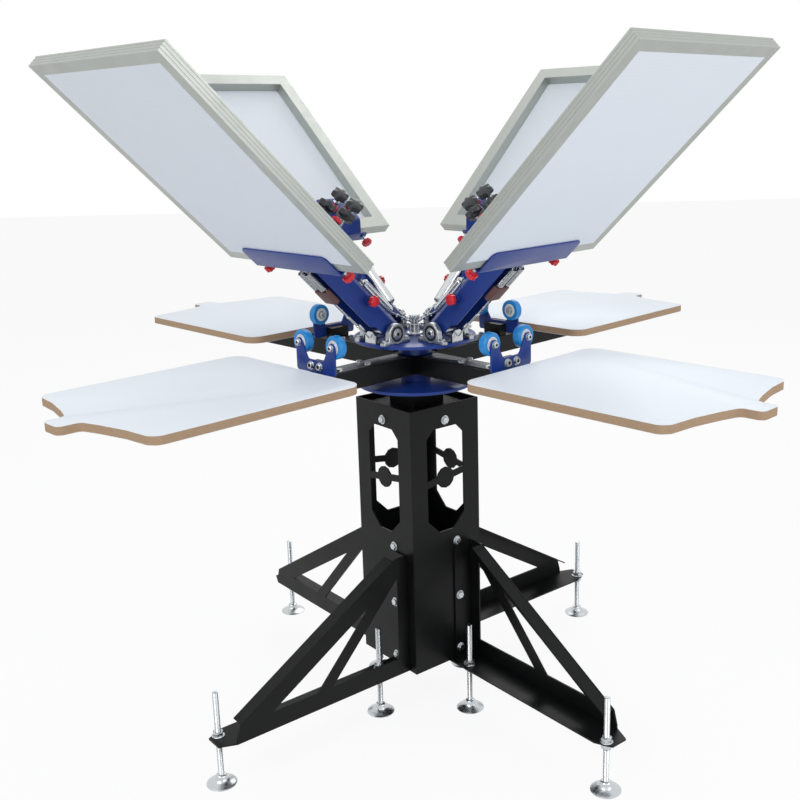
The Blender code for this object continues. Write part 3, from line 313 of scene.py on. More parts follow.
DISH = [(30, 1.2), (32.5, 0), (34.2, 0), (35, 0.7), (34.9, 1.6), (33, 3.0), (29, 4.6), (24, 6.6), (19.5, 8.8),
        (16, 11.4), (14.2, 14.0), (13.4, 16.5), (13.2, 19.0), (12.6, 21.0), (11.2, 22.6), (9.2, 23.6), (6.0, 23.9)]
for station, bearing in STATIONS.items():
    for role, reach in FOOT_REACH.items():
        at = (reach, FOOT_LINE, 0)
        stud = screw(STUD_CORE, STUD, PITCH, STUD_LOW, STUD_TOP)
        foot = joined(laid(turned(DISH, 48), at), laid(stud, at))
        name = role + "_" + station
        piece("foot_" + name, at_bearing(foot, bearing + BASE_TURN), zinc, "foot_" + name,
              ("levelling_foot_" + name,), 40)
        nuts = joined(laid(hexagon(*NUT), (reach, FOOT_LINE, FLANGE_UNDER - 0.1), (0, 0, -1)),
                      laid(hexagon(*NUT), (reach, FOOT_LINE, FLANGE_TOP + 0.1)),
                      laid(washer(15, 1.4), (reach, FOOT_LINE, FLANGE_TOP)),
                      laid(washer(15, 1.4), (reach, FOOT_LINE, FLANGE_UNDER), (0, 0, -1)))
        piece("foot_nuts_" + name, at_bearing(nuts, bearing + BASE_TURN), zinc, "base")

# ---- Legs, column and spindle housing ----
# Folded 4 mm steel sheet, black powder coated: four trussed legs are bolted to the faces of a square
# column with lobed windows, and the housing of the spindle stands in the column's mouth.


def powder(name, code, rough, shine):
    """Powder coat: a plastic-like skin that drifts in tone over 120 mm, and whose orange peel, 2.2 mm
    across, shows in its highlights."""
    material, tree, shader, place = new_finish(
        name, {"Specular IOR Level": shine, "Coat Weight": 0.3 * shine, "Coat Roughness": 0.2})
    cloud = add_node(tree, "ShaderNodeTexNoise", {"Vector": place, "Scale": per_mm(120), "Detail": 3.0})
    base = linear(code)
    lighter = tuple(min(1, c * 1.18 + 0.002) for c in base[:3]) + (1.0,)
    darker = tuple(c * 0.86 for c in base[:3]) + (1.0,)
    tone = add_node(tree, "ShaderNodeMix", {0: cloud.outputs["Fac"], 6: darker, 7: lighter}, data_type="RGBA")
    peel = add_node(tree, "ShaderNodeTexNoise", {"Vector": place, "Scale": per_mm(2.2), "Detail": 2.0})
    tree.links.new(tone.outputs[2], shader.inputs["Base Color"])
    misted(tree, shader, cloud.outputs["Fac"], rough - 0.05, rough + 0.07, peel.outputs["Fac"], 0.10, 0.0006)
    return material


# Semi-gloss black powder coat on sheet steel: near black, with broad soft highlights
black_coat = powder("semi-gloss black powder coat", "0A0B0C", 0.42, 0.16)
# Ground and chrome-plated round bar
chrome = metal("hard chrome-plated steel", "DADDE0", 0.14, 0.04, 9.0, 0.008)


def finished(node, material):
    """A CAD node that is shown as it is, in its real finish."""
    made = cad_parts[node]
    made.data.materials.clear()
    made.data.materials.append(material)


for node in ("column", "spindle_housing", "pallet_spider"):
    finished(node, black_coat)
finished("spindle", chrome)
# Each bolt's place on the column's face or on the leg's flange there, and the height of its head
COLUMN_BOLTS = (((108.05, 0, 762), 6.6), ((108.05, 32, 441), 6.6), ((112.35, 35, 148), 6.4), ((112.35, 35, 293), 6.4))
column_bolts = joined(*[hex_screw((11.5, 1.2), 15.2, head, 0.2, at, (1, 0, 0)) for at, head in COLUMN_BOLTS])
for station, bearing in STATIONS.items():
    finished("leg_" + station, black_coat)
    piece("column_bolts_" + station, at_bearing(column_bolts, bearing + BASE_TURN), zinc, "base")

# ---- Lower disk ----
# A turned steel plate on top of the housing, deep blue powder coat, whose boss is the thrust seat
# of the pallet carousel.

# Gloss deep blue powder coat: a violet-leaning blue, brighter where it faces the lamps
blue_coat = powder("gloss deep blue powder coat", "193784", 0.34, 0.32)
edge = [(143.2, 838), (144.4, 838.3), (145, 839.2), (145, 844.8), (144.4, 845.7), (143.2, 846)]
lower_disk = bored([(20.3, 838)] + edge + [(37, 846), (36, 847), (36, 867.4), (35.4, 868), (20.3, 868)], 96)
piece("lower_disk_plate", at_bearing(lower_disk, 0), blue_coat, "base", ("lower_disk",))

# ---- Spider guide strips ----
# Zinc-plated flats are screwed on top of the black box beams near the hub, with low hex screws,
# and give the gates' blocks their seat.


def outline_inset(outline, depth):
    """An outline moved inwards: each point goes along its mitre, the mean of its sides' normals."""
    outline = np.asarray(outline, float)
    side = np.roll(outline, -1, 0) - outline
    side /= np.linalg.norm(side, axis=1)[:, None]
    normal = np.stack([-side[:, 1], side[:, 0]], 1)
    mitre = normal + np.roll(normal, 1, 0)
    mitre /= np.maximum(0.35, (mitre * normal).sum(1))[:, None]
    area = 0.5 * np.sum(outline[:, 0] * np.roll(outline[:, 1], -1) - np.roll(outline[:, 0], -1) * outline[:, 1])
    return outline + mitre * depth * (1 if area > 0 else -1)


def plate(outline, low, high, edge=0.8, plane="xy", steps=3):
    """A plate with rounded edges: the outline is inset by a quarter circle near both faces."""
    outline = np.asarray(outline, float)
    area = np.sum(outline[:, 0] * np.roll(outline[:, 1], -1) - np.roll(outline[:, 0], -1) * outline[:, 1])
    if area < 0:
        outline = outline[::-1]
    turn = np.linspace(0, np.pi / 2, steps + 1)
    insets = np.concatenate([edge * (1 - np.sin(turn)), (edge * (1 - np.sin(turn)))[::-1]])
    levels = np.concatenate([low + edge * (1 - np.cos(turn)), (high - edge * (1 - np.cos(turn)))[::-1]])
    rings = []
    for inset, level in zip(insets, levels):
        ring = outline_inset(outline, inset)
        flat = np.full(len(ring), level)
        rings.append({"xy": np.stack([ring[:, 0], ring[:, 1], flat], 1),
                      "yz": np.stack([flat, ring[:, 0], ring[:, 1]], 1),
                      "xz": np.stack([ring[:, 1], flat, ring[:, 0]], 1)}[plane])
    return skin(rings)


def rounded(corners, radii, steps=6):
    """An outline whose corners are arcs tangent to both sides, one radius for each corner."""
    made = []
    corners = np.asarray(corners, float)
    for here, before, after, radius in zip(corners, np.roll(corners, 1, 0), np.roll(corners, -1, 0), radii):
        if radius == 0:
            made.append(here[None])
            continue
        a = (before - here) / np.linalg.norm(before - here)
        b = (after - here) / np.linalg.norm(after - here)
        half = np.arccos(np.clip(a @ b, -1, 1)) / 2
        centre = here + (a + b) / np.linalg.norm(a + b) * radius / math.sin(half)
        first = here + a * radius / math.tan(half) - centre
        last = here + b * radius / math.tan(half) - centre
        swing = math.atan2(first[0] * last[1] - first[1] * last[0], first @ last)
        angle = swing * np.linspace(0, 1, steps + 1)
        made.append(centre + np.stack([first[0] * np.cos(angle) - first[1] * np.sin(angle),
                                       first[0] * np.sin(angle) + first[1] * np.cos(angle)], 1))
    return np.concatenate(made)


def bar(low, high, edge=0.8):
    """A block between two corners, with rounded edges along its length."""
    corners = [(low[0], low[1]), (high[0], low[1]), (high[0], high[1]), (low[0], high[1])]
    return plate(rounded(corners, [edge] * 4, 3), low[2], high[2], edge)


# Rolled steel flat, zinc plated and dull: a dark grey, faintly cloudy over 30 mm
dull_zinc = metal("dull zinc-plated steel flat", "5C6062", 0.38, 0.05, 30.0, 0.004)
STRIP_TOP = 914.9
guide_strip = bar((52, -25, 911.9), (283, 25, STRIP_TOP), 0.6)
guide_screws = joined(*[hex_screw((8, 1.2), 13, 5.5, 0.6, (x, y, STRIP_TOP))
                        for x, y in ((170, -15), (170, 15), (258, -16), (258, 16))])
for station, bearing in STATIONS.items():
    turn = bearing + HEAD_TURN
    piece("guide_strip_" + station, at_bearing(guide_strip, turn), dull_zinc, "pallet_carousel")
    piece("guide_screws_" + station, at_bearing(guide_screws, turn), zinc, "pallet_carousel")

# ---- Pallets ----
# Four 18 mm fibreboard pallets, faced on both sides with white laminate. The cut edge is bare, and
# brown; the outer end has sloping shoulders and a tongue that the operator turns the press by.


def plain_board(name, code, rough, streak=None, bump=0.05):
    """A board's face or its bare edge: fine speckle, and streaks along its layers if it is bare."""
    material, tree, shader, place = new_finish(name, {"Roughness": rough})
    run = add_node(tree, "ShaderNodeMapping", {"Vector": place, "Scale": (1, 1, 6) if streak else (1, 1, 1)})
    speckle = add_node(tree, "ShaderNodeTexNoise", {"Vector": run.outputs[0], "Scale": per_mm(7 if streak else 60),
                                                    "Detail": 6.0, "Roughness": 0.6})
    tone = add_node(tree, "ShaderNodeMix", {0: speckle.outputs["Fac"], 6: linear(code),
                                            7: linear(streak or code)}, data_type="RGBA")
    relief = add_node(tree, "ShaderNodeBump", {"Height": speckle.outputs["Fac"], "Strength": bump,
                                               "Distance": 0.0005})
    tree.links.new(tone.outputs[2], shader.inputs["Base Color"])
    tree.links.new(relief.outputs[0], shader.inputs["Normal"])
    return material


# White melamine laminate: smooth, satin, faintly blue
laminate = plain_board("white melamine laminate", "E8EEF4", 0.5, None, 0.015)
# Bare medium-density fibreboard: warm brown with darker fibre streaks
fibreboard = plain_board("bare fibreboard edge", "BFA487", 0.75, "8C6F56", 0.2)

half_board = [(365, -225), (848, -225), (862, -207), (868, -145), (884, -75), (898, -31), (944, -31)]
board_corners = half_board + [(x, -y) for x, y in half_board[::-1]]
board_radii = [38, 22, 14, 38, 22, 14, 14]
board = rounded(board_corners, board_radii + board_radii[::-1], 8)
board_core = plate(outline_inset(board, 0.15), 920.5, 937.4, 0.2, steps=1)
board_faces = joined(plate(board, 937.3, 938.0, 0.3, steps=2), plate(board, 919.9, 920.6, 0.3, steps=2))
for station, bearing in STATIONS.items():
    turn = bearing + HEAD_TURN
    piece("board_core_" + station, at_bearing(board_core, turn), fibreboard, "pallet_carousel",
          ("pallet_" + station,))
    piece("board_faces_" + station, at_bearing(board_faces, turn), laminate, "pallet_carousel")

# ---- Registration gates ----
# A blue powder-coated plate with two prongs stands at the root of each pallet. Its two socket
# screws are zinc-plated with washers, and each prong carries the axle of a roller.


def circle_points(centre, radius, start, end, steps):
    """Points on an arc, from start to end in degrees."""
    angle = np.radians(np.linspace(start, end, steps + 1))
    return np.stack([centre[0] + radius * np.cos(angle), centre[1] + radius * np.sin(angle)], 1)


# Black-oxide steel of the sockets in the gates' screws and the arms' shafts: dark and satin
black_oxide = metal("black-oxide steel", "2A2B2D", 0.38, 0.06, 4.0)
# The rollers' axles: how far they stand to each side, and how high; and the height of the screws
AXLE_SPREAD = 57.5
AXLE_HEIGHT = 983
BOLT_HEIGHT = 935
# The gate's two faces, and where its washers and its screws' heads begin
GATE_BACK, GATE_FRONT, WASHER_FOOT, HEAD_FOOT = 308.5, 313.5, 313.4, 314.6
OUT = (1, 0, 0)
prong = circle_points((AXLE_SPREAD, AXLE_HEIGHT), 10.5, 0, 180, 18)
right_side = np.concatenate([rounded([(0, 918.5), (68, 918.5), (68, AXLE_HEIGHT)], [0, 7, 0], 6)[1:-1], prong,
                             rounded([prong[-1], (28, 948), (0, 948)], [0, 9, 0], 6)[1:-1]])
gate_outline = np.concatenate([right_side, (right_side * (-1, 1))[::-1]])
gate = plate(gate_outline, GATE_BACK, GATE_FRONT, 0.7, "yz")
bright, dark = [], []
for v in (-15, 15):
    screw_head = turned([(7.6, 0), (8.1, 0.6), (8.1, 4.6), (7.3, 5.4)], 24)
    bright += [laid(washer(10.2, 1.6), (WASHER_FOOT, v, BOLT_HEIGHT), OUT),
               laid(screw_head, (HEAD_FOOT, v, BOLT_HEIGHT), OUT)]
    dark.append(laid(turned([(4.6, 0), (4.6, 0.5), (2.0, 0.5)], 6), (319.7, v, BOLT_HEIGHT), OUT))
for v in (-AXLE_SPREAD, AXLE_SPREAD):
    axle_head = turned([(6.9, 0), (7.4, 0.7), (7.4, 4.2), (6.2, 5.2)], 24)
    bright += [laid(turned([(5, 0), (5, 31.5)], 20), (282, v, AXLE_HEIGHT), OUT),
               laid(washer(8.6, 1.4), (WASHER_FOOT, v, AXLE_HEIGHT), OUT),
               laid(axle_head, (HEAD_FOOT, v, AXLE_HEIGHT), OUT),
               laid(hexagon(15.2, 6.2, 1.0), (288.0, v, AXLE_HEIGHT), (-1, 0, 0))]
    dark.append(laid(turned([(3.4, 0), (3.4, 0.4), (1.6, 0.4)], 6), (319.6, v, AXLE_HEIGHT), OUT))
gate_screws, gate_sockets = joined(*bright), joined(*dark)
for station, bearing in STATIONS.items():
    turn = bearing + HEAD_TURN
    piece("gate_plate_" + station, at_bearing(gate, turn), blue_coat, "pallet_carousel",
          ("registration_gate_" + station,))
    piece("gate_screws_" + station, at_bearing(gate_screws, turn), zinc, "pallet_carousel")
    piece("gate_sockets_" + station, at_bearing(gate_sockets, turn), black_oxide, "pallet_carousel")

# ---- Gate rollers ----
# A sky-blue polyurethane tyre is cast on a white nylon wheel with a recessed web, which turns on a
# steel bush. The two rollers of a gate guide the print arm into place as it comes down.


def plastic(name, code, rough, soft=0.0):
    """A moulded plastic: an even colour with a faint mottle, 3 mm across, in its highlights."""
    material, tree, shader, place = new_finish(
        name, {"Base Color": linear(code), "Subsurface Weight": soft, "Subsurface Scale": 0.004})
    mottle = add_node(tree, "ShaderNodeTexNoise", {"Vector": place, "Scale": per_mm(3.0), "Detail": 3.0})
    mottle = mottle.outputs["Fac"]
    misted(tree, shader, mottle, rough - 0.05, rough + 0.06, mottle, 0.03, 0.0005)
    return material


# Cast polyurethane: saturated sky blue with a satin skin. Nylon: white and slightly waxy
urethane = plastic("cast polyurethane", "1B87CF", 0.36, 0.05)
nylon = plastic("white nylon", "E9EAEA", 0.42, 0.05)
tyre = [(17.2, -9.6), (22.8, -10), (25.2, -9.4), (26.5, -7.6), (26.8, -5), (26.8, 5), (26.5, 7.6),
        (25.2, 9.4), (22.8, 10), (17.2, 9.6)]
wheel = [(9.6, -8.6), (10.4, -9.4), (16.4, -9.4), (17.3, -8.6), (17.3, 8.6), (16.4, 9.4), (14.2, 9.4),
         (13.4, 8.0), (10.6, 7.6), (9.6, 8.2)]
bush = [(5.3, -9.8), (9.5, -9.8), (9.7, -9.2), (9.7, 8.8), (9.0, 9.6), (5.3, 9.6)]
for station, bearing in STATIONS.items():
    for role, v in (("right", -AXLE_SPREAD), ("left", AXLE_SPREAD)):
        name = role + "_" + station
        at = ((298.2, v, AXLE_HEIGHT), OUT)
        body = "roller_" + name
        turn = bearing + HEAD_TURN
        piece("roller_tyre_" + name, at_bearing(laid(bored(tyre, 64), *at), turn), urethane, body,
              ("gate_roller_" + name,))
        piece("roller_wheel_" + name, at_bearing(laid(bored(wheel, 48), *at), turn), nylon, body)
        piece("roller_bush_" + name, at_bearing(laid(bored(bush, 32), *at), turn), zinc, body)

# ---- Upper disk and centre post ----
# The print carousel's turned blue plate, with a folded zinc bracket at its rim under each arm, and a
# castellated zinc post at its centre that the upper springs hook on.
rim = [(148.2, 950), (149.4, 950.3), (150, 951.2), (150, 956.8), (149.4, 957.7), (148.2, 958)]
upper_disk = bored([(20.3, 912.9), (41, 912.9), (42, 913.8), (42, 949), (43, 950)] + rim + [(20.3, 958)], 96)
piece("upper_disk_plate", at_bearing(upper_disk, 0), blue_coat, "print_carousel", ("upper_disk",))
post = [(20.4, 958.3), (21, 958.9), (21, 963.4), (20.2, 964.3), (13.4, 964.8), (13, 966), (13, 984.4), (12.4, 985),
        (10, 985.4), (10, 996.6), (12.4, 997), (13, 997.6), (13, 1007.6), (11.8, 1009)]
lower_half = turned(post[:10], 48)
crown = turned([(10, 996.6), (12.6, 997), (13.2, 997.8), (13.2, 1006.8), (12.2, 1008), (6.5, 1008.2), (6.0, 1009)],
               96, 8, 0.16)
piece("centre_post_turned", at_bearing(joined(lower_half, crown), HEAD_TURN), zinc, "print_carousel",
      ("centre_post",))
# The brackets rise to the top of the disk's node, which they are part of
DISK_TOP, FOOT_TOP, TAB_TOP = 957.9, 961.4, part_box("upper_disk")[1][2] * 1000
tab = rounded([(-18, DISK_TOP), (18, DISK_TOP), (18, TAB_TOP - 10), (8, TAB_TOP), (-8, TAB_TOP), (-18, TAB_TOP - 10)],
              [0, 0, 3, 3, 3, 3], 3)
bracket = joined(plate(tab, 141, 146, 0.7, "yz"), bar((120, -18, DISK_TOP), (146, 18, FOOT_TOP), 0.8),
                 *[hex_screw((6.4, 1), 10, 4, 0.6, (128, y, FOOT_TOP)) for y in (-9, 9)])
for station, bearing in STATIONS.items():
    piece("spring_bracket_" + station, at_bearing(bracket, bearing + HEAD_TURN), zinc, "print_carousel")

# ---- Pivot bearings ----
# Two cast pillow blocks with ball-bearing inserts carry the ground shaft of each arm. They are
# left bare and bolted through slots in their feet.

# Die-cast zinc alloy as it leaves the mould: bright, satin, slightly cloudy
casting = metal("die-cast zinc alloy", "B4B8BA", 0.36, 0.06, 5.0, 0.03)
# Moulded nitrile rubber of the bearings' seals: black and dull
nitrile = plastic("black nitrile rubber", "1A1B1C", 0.55)
# The shaft's distance from the press's axis and its height, and each block's distance from the middle
PIVOT_RADIUS, PIVOT_HEIGHT, BLOCK_SPREAD = 107, 982, 45
block_side = np.concatenate([[(-42.5, -23.6), (42.5, -23.6)], circle_points((38.5, -19.4), 4, 0, 80, 5),
                             [(27, -14.6)], circle_points((0, 0), 25, 0, 180, 28), [(-27, -14.6)],
                             circle_points((-38.5, -19.4), 4, 100, 180, 5)])
insert_ring = bored([(8.6, -9), (12, -9), (12.6, -8.4), (12.6, 8.4), (12, 9), (8.6, 9)], 32)
lip = bored([(19.6, -8.1), (22.4, -8.4), (23.0, -7.8), (23.0, 7.8), (22.4, 8.4), (19.6, 8.1)], 40)
seal = bored([(13.0, -7.9), (18.6, -7.9), (19.0, -7.3), (19.0, 7.3), (18.6, 7.9), (13.0, 7.9)], 40)
cast, bright, seals = [], [], []
for v in (-BLOCK_SPREAD, BLOCK_SPREAD):
    side = plate(block_side[:, ::-1], v - 7.5, v + 7.5, 1.8, "xz")
    at = ((PIVOT_RADIUS, v, PIVOT_HEIGHT), (0, 1, 0))
    cast += [(side[0] + (PIVOT_RADIUS, 0, PIVOT_HEIGHT), side[1]), laid(lip, *at)]
    seals.append(laid(seal, *at))
    bright += [laid(insert_ring, *at)] + [hex_screw((7, 1.2), 11, 5, 0.8, (PIVOT_RADIUS + x, v, 966.3))
                                          for x in (-34, 34)]
rod = turned([(7.6, -56), (8.5, -55.2), (8.5, 55.2), (7.6, 56)], 32)
bright.append(laid(rod, (PIVOT_RADIUS, 0, PIVOT_HEIGHT), (0, 1, 0)))
sockets = [laid(turned([(4.2, 0), (4.2, 0.4), (2.0, 0.4)], 6), (PIVOT_RADIUS, s * 55.9, PIVOT_HEIGHT), (0, s, 0))
           for s in (-1, 1)]
for station, bearing in STATIONS.items():
    turn = bearing + HEAD_TURN
    piece("pillow_blocks_" + station, at_bearing(joined(*cast), turn), casting, "print_carousel",
          ("pivot_bearings_" + station,))
    piece("pivot_shaft_" + station, at_bearing(joined(*bright), turn), zinc, "print_carousel")
    piece("pivot_socket_" + station, at_bearing(joined(*sockets), turn), black_oxide, "print_carousel")
    piece("pivot_seals_" + station, at_bearing(joined(*seals), turn), nitrile, "print_carousel")

# ---- Print arms ----
# Each arm is a channel folded from 2.5 mm sheet, open below, blue powder coated, and raised 43.7
# degrees about its shaft. Red knobs on short blue blocks stand out from both sides.
RAISE = 43.7
KNOB_OUT, KNOB_UP = 108, 17


def on_arm(part, bearing):
    """A part in an arm's own millimetres (out along the arm, across, up), raised and set at its bearing."""
    points, faces = part
    c, s = math.cos(math.radians(RAISE)), math.sin(math.radians(RAISE))
    u, v, w = points.T
    placed = np.stack([PIVOT_RADIUS + u * c - w * s, v, PIVOT_HEIGHT + u * s + w * c], 1)
    return at_bearing((placed, faces), bearing + HEAD_TURN)


def folded(path, thick):
    """A closed section of sheet: an open path, and the same path moved inwards by the thickness."""
    path = np.asarray(path, float)
    step = np.gradient(path, axis=0)
    step /= np.linalg.norm(step, axis=1)[:, None]
    return np.concatenate([path, (path + np.stack([step[:, 1], -step[:, 0]], 1) * thick)[::-1]])


def knob(radius, length, lobes=8, depth=0.16):
    """A moulded grip on Z = 0 with lobes round it, a domed top and a turned boss below."""
    rows = [(radius * 0.5, 0), (radius * 0.55, length * 0.12), (radius * 0.9, length * 0.2), (radius, length * 0.3),
            (radius, length * 0.78), (radius * 0.93, length * 0.9), (radius * 0.78, length * 0.97),
            (radius * 0.5, length * 1.0), (radius * 0.2, length * 1.01)]
    return turned(rows, 64, lobes, depth)


# Moulded red nylon grips: glossy, slightly translucent
red_nylon = plastic("glossy red nylon", "D81E2C", 0.28, 0.05)
# Moulded black phenolic grips: dark, satin
black_phenolic = plastic("black phenolic", "24272A", 0.34)

over = rounded([(-30, -27), (-30, 24), (-16, 38), (16, 38), (30, 24), (30, -27)], [0, 5, 5, 5, 5, 0], 4)
section = folded(over, 2.5)
reach = np.concatenate([np.linspace(-14, 40, 6), np.linspace(42, 66, 9), np.linspace(80, 291.6, 8)])
root = np.clip((reach - 42) / 24, 0, 1)
low_edge = -16 - 11 * root * root * (3 - 2 * root)
rings = np.empty((len(reach), len(section), 3))
rings[:, :, 0] = reach[:, None]
rings[:, :, 1] = section[None, :, 0]
rings[:, :, 2] = np.maximum(section[None, :, 1], low_edge[:, None])
arm_channel = skin(rings)
end_outline = rounded([(-30, -27), (30, -27), (30, 24), (16, 38), (-16, 38), (-30, 24)], [3, 3, 5, 5, 5, 5], 4)
arm_blue = joined(arm_channel, plate(end_outline, 291.5, 294, 0.5, "yz"),
                  plate(rounded([(35.5, 139), (62, 139), (62, 153), (35.5, 153)], [0, 6, 6, 0], 5), -5, 5, 0.6, "xz"),
                  plate(rounded([(-28.5, -37), (28.5, -37), (28.5, -12), (-28.5, -12)], [2, 2, 0, 0], 3),
                        288.5, 292.5, 0.6, "yz"))
block_outline = rounded([(97, 8), (119, 8), (119, 26), (97, 26)], [4] * 4, 4)[:, ::-1]
blocks, stems, grips = [], [], []
for side in (-1, 1):
    low, high = sorted((side * 29.8, side * 36.5))
    blocks.append(plate(block_outline, low, high, 0.8, "xz"))
    stems.append(laid(turned([(4, 0), (4, 5)], 16), (KNOB_OUT, side * 36, KNOB_UP), (0, side, 0)))
    grips.append(laid(knob(14, 16), (KNOB_OUT, side * 40, KNOB_UP), (0, side, 0)))
for station, bearing in STATIONS.items():
    body = "arm_" + station
    piece("arm_channel_" + station, on_arm(joined(arm_blue, *blocks), bearing), blue_coat, body,
          ("print_arm_" + station,))
    piece("arm_stems_" + station, on_arm(joined(*stems), bearing), zinc, body)
    piece("arm_knobs_" + station, on_arm(joined(*grips), bearing), red_nylon, body)

# ---- Clamp heads ----
# A folded blue saddle sits over each arm's end, with two small red knobs on top. Below it, a wide jaw
# and a winged plate carry the screen's rail, and a bar is screwed down on it by a black star knob.
jaw_outline = rounded([(296, -148), (358, -148), (358, 148), (296, 148)], [3, 14, 14, 3], 6)
wing_outline = rounded([(-150, -42), (150, -42), (150, -14), (62, -14), (45, 30), (45, 83), (-45, 83), (-45, 30),
                        (-62, -14), (-150, -14)], [3, 3, 8, 14, 12, 4, 4, 12, 14, 8], 5)
saddle_side = rounded([(236, 38.5), (345, 38.5), (345, 85), (262, 85), (236, 59)], [2, 2, 8, 10, 8], 5)
# Where the wings begin, how far out the clamp's screws stand, and the saddle's top
WING_FACE, CLAMP_OUT, SADDLE_TOP = 294.3, 323, 85
head_sheet = joined(plate(jaw_outline, -43, -39.3, 0.8), plate(wing_outline, WING_FACE, 298.3, 0.8, "yz"),
                    plate(saddle_side[:, ::-1], -46, 46, 3.0, "xz"), bar((300, -85, -10.3), (345, 85, -6.3), 0.8))
stems, grips, stars = [], [], []
# Red knobs: through the wings, on the clamp bar, and on top of the saddle
for v in (-138, 138):
    stems.append(laid(turned([(4, 0), (4, 20)], 16), (274, v, -27), OUT))
    stems.append(laid(hexagon(10, 4), (WING_FACE, v, -27), (-1, 0, 0)))
    grips.append(laid(knob(14, 16), (280.3, v, -27), (-1, 0, 0)))
for v in (-70, 70):
    stems.append(laid(turned([(4, 0), (4, 10)], 16), (CLAMP_OUT, v, -7)))
    stems.append(laid(hexagon(10, 3), (CLAMP_OUT, v, -6.4)))
    grips.append(laid(knob(14, 16), (CLAMP_OUT, v, -2.3)))
for v in (-28, 28):
    stems.append(laid(turned([(4, 0), (4, 6)], 16), (300, v, SADDLE_TOP - 1)))
    grips.append(laid(knob(12.5, 14), (300, v, SADDLE_TOP + 2)))
# Black star knobs: how far out each stands, and from where to where its screw shows
for u, low, high in ((266, 84.9, 122), (CLAMP_OUT, -8, 102)):
    stems.append(laid(screw(5.2, 6, 1.75, 0, high + 2 - low, 16, 5), (u, 0, low)))
    stems.append(laid(hexagon(16, 7), (u, 0, SADDLE_TOP)))
    stars.append(laid(knob(23, 22, 6, 0.24), (u, 0, high)))
stems.append(laid(turned([(11.4, 0), (12, 0.6), (12, 5.4), (11.4, 6)], 32), (CLAMP_OUT, 0, -11.3)))
for station, bearing in STATIONS.items():
    body = "head_" + station
    piece("head_sheet_" + station, on_arm(head_sheet, bearing), blue_coat, body,
          ("clamp_head_" + station,))
    piece("head_stems_" + station, on_arm(joined(*stems), bearing), zinc, body)
    piece("head_knobs_" + station, on_arm(joined(*grips), bearing), red_nylon, body)
    piece("head_stars_" + station, on_arm(joined(*stars), bearing), black_phenolic, body)

# ---- Screens ----
# A frame of ribbed, satin aluminium extrusion, mitred and welded at its corners, with pale
# polyester mesh glued tight over its underside.


def extruded_aluminium(name, code, rough):
    """Satin aluminium: a cloud 40 mm across varies its roughness and, faintly, its height. Metallic
    just under 1 gives a part of its grey as plain colour, as the dull skin of such a rail does."""
    material, tree, shader, place = new_finish(name, {"Base Color": linear(code), "Metallic": 0.85})
    cloud = add_node(tree, "ShaderNodeTexNoise", {"Vector": place, "Scale": per_mm(40), "Detail": 5.0})
    cloud = cloud.outputs["Fac"]
    misted(tree, shader, cloud, rough - 0.06, rough + 0.08, cloud, 0.04, 0.001)
    return material


# Mill-finish extrusion, lightly sanded
rail_metal = extruded_aluminium("satin aluminium extrusion", "B2B6B1", 0.42)


def mesh_cloth(name, code, thread, half_mm):
    """Plain-woven polyester mesh: two crossed waves lighten the colour where threads cross. A wave's
    period is 2 pi / 20, so the threads are drawn about twice half_mm apart, 3.2 mm, which is far
    coarser than the real 0.12 mm, so that the weave shows."""
    material, tree, shader, _ = new_finish(name, {"Roughness": 0.55})
    weave_map = add_node(tree, "ShaderNodeUVMap", uv_map="weave")
    waves = []
    for direction in ("X", "Y"):
        wave = add_node(tree, "ShaderNodeTexWave", {"Vector": weave_map.outputs[0], "Scale": per_mm(half_mm) / 6.283},
                        wave_type="BANDS", bands_direction=direction)
        waves.append(wave.outputs["Fac"])
    weave = add_node(tree, "ShaderNodeMath", {0: waves[0], 1: waves[1]}, operation="MULTIPLY")
    mix = add_node(tree, "ShaderNodeMix", {0: weave.outputs[0], 6: linear(code), 7: linear(thread)}, data_type="RGBA")
    relief = add_node(tree, "ShaderNodeBump", {"Height": weave.outputs[0], "Strength": 0.05, "Distance": 0.0003})
    tree.links.new(mix.outputs[2], shader.inputs["Base Color"])
    tree.links.new(relief.outputs[0], shader.inputs["Normal"])
    return material


# Polyester filament: pale blue grey, matt, with lighter crossings
mesh_fabric = mesh_cloth("polyester screen mesh", "DCE3EC", "EEF2F7", 1.6)
# The frame's start along the arm, its length and width, its rail's width and depth, its underside
START, LONG, WIDE, RAIL, DEEP, UNDER = 309.6, 609.0, 480.0, 38.0, 27.4, -39.0
GLUE_END = 26
CLOTH_THICK = 0.35


def rail_section():
    """The rail's outline, across and up, with three shallow grooves in its outer wall."""
    top, low = UNDER + DEEP, UNDER + 0.2
    grooves = []
    for height in (0.24, 0.50, 0.76):
        mid = low + DEEP * height
        grooves += [(0, mid - 1.6), (0.9, mid - 0.9), (0.9, mid + 0.9), (0, mid + 1.6)]
    return np.array([(RAIL - 1, low), (RAIL, low + 1), (RAIL, top - 1), (RAIL - 1, top), (1, top), (0, top - 1)]
                    + grooves[::-1] + [(0, low + 1), (1, low)])


def mitred_frame():
    """The section carried round a rectangle: each corner ring lies on the mitre, so that inwards is
    the same distance along both sides."""
    rows = rail_section()
    rings = []
    for su, sv in ((0, -1), (1, -1), (1, 1), (0, 1)):
        u = START + LONG - rows[:, 0] if su else START + rows[:, 0]
        v = sv * (WIDE / 2 - rows[:, 0])
        rings.append(np.stack([u, v, rows[:, 1]], 1))
    return skin(rings, closed=True)


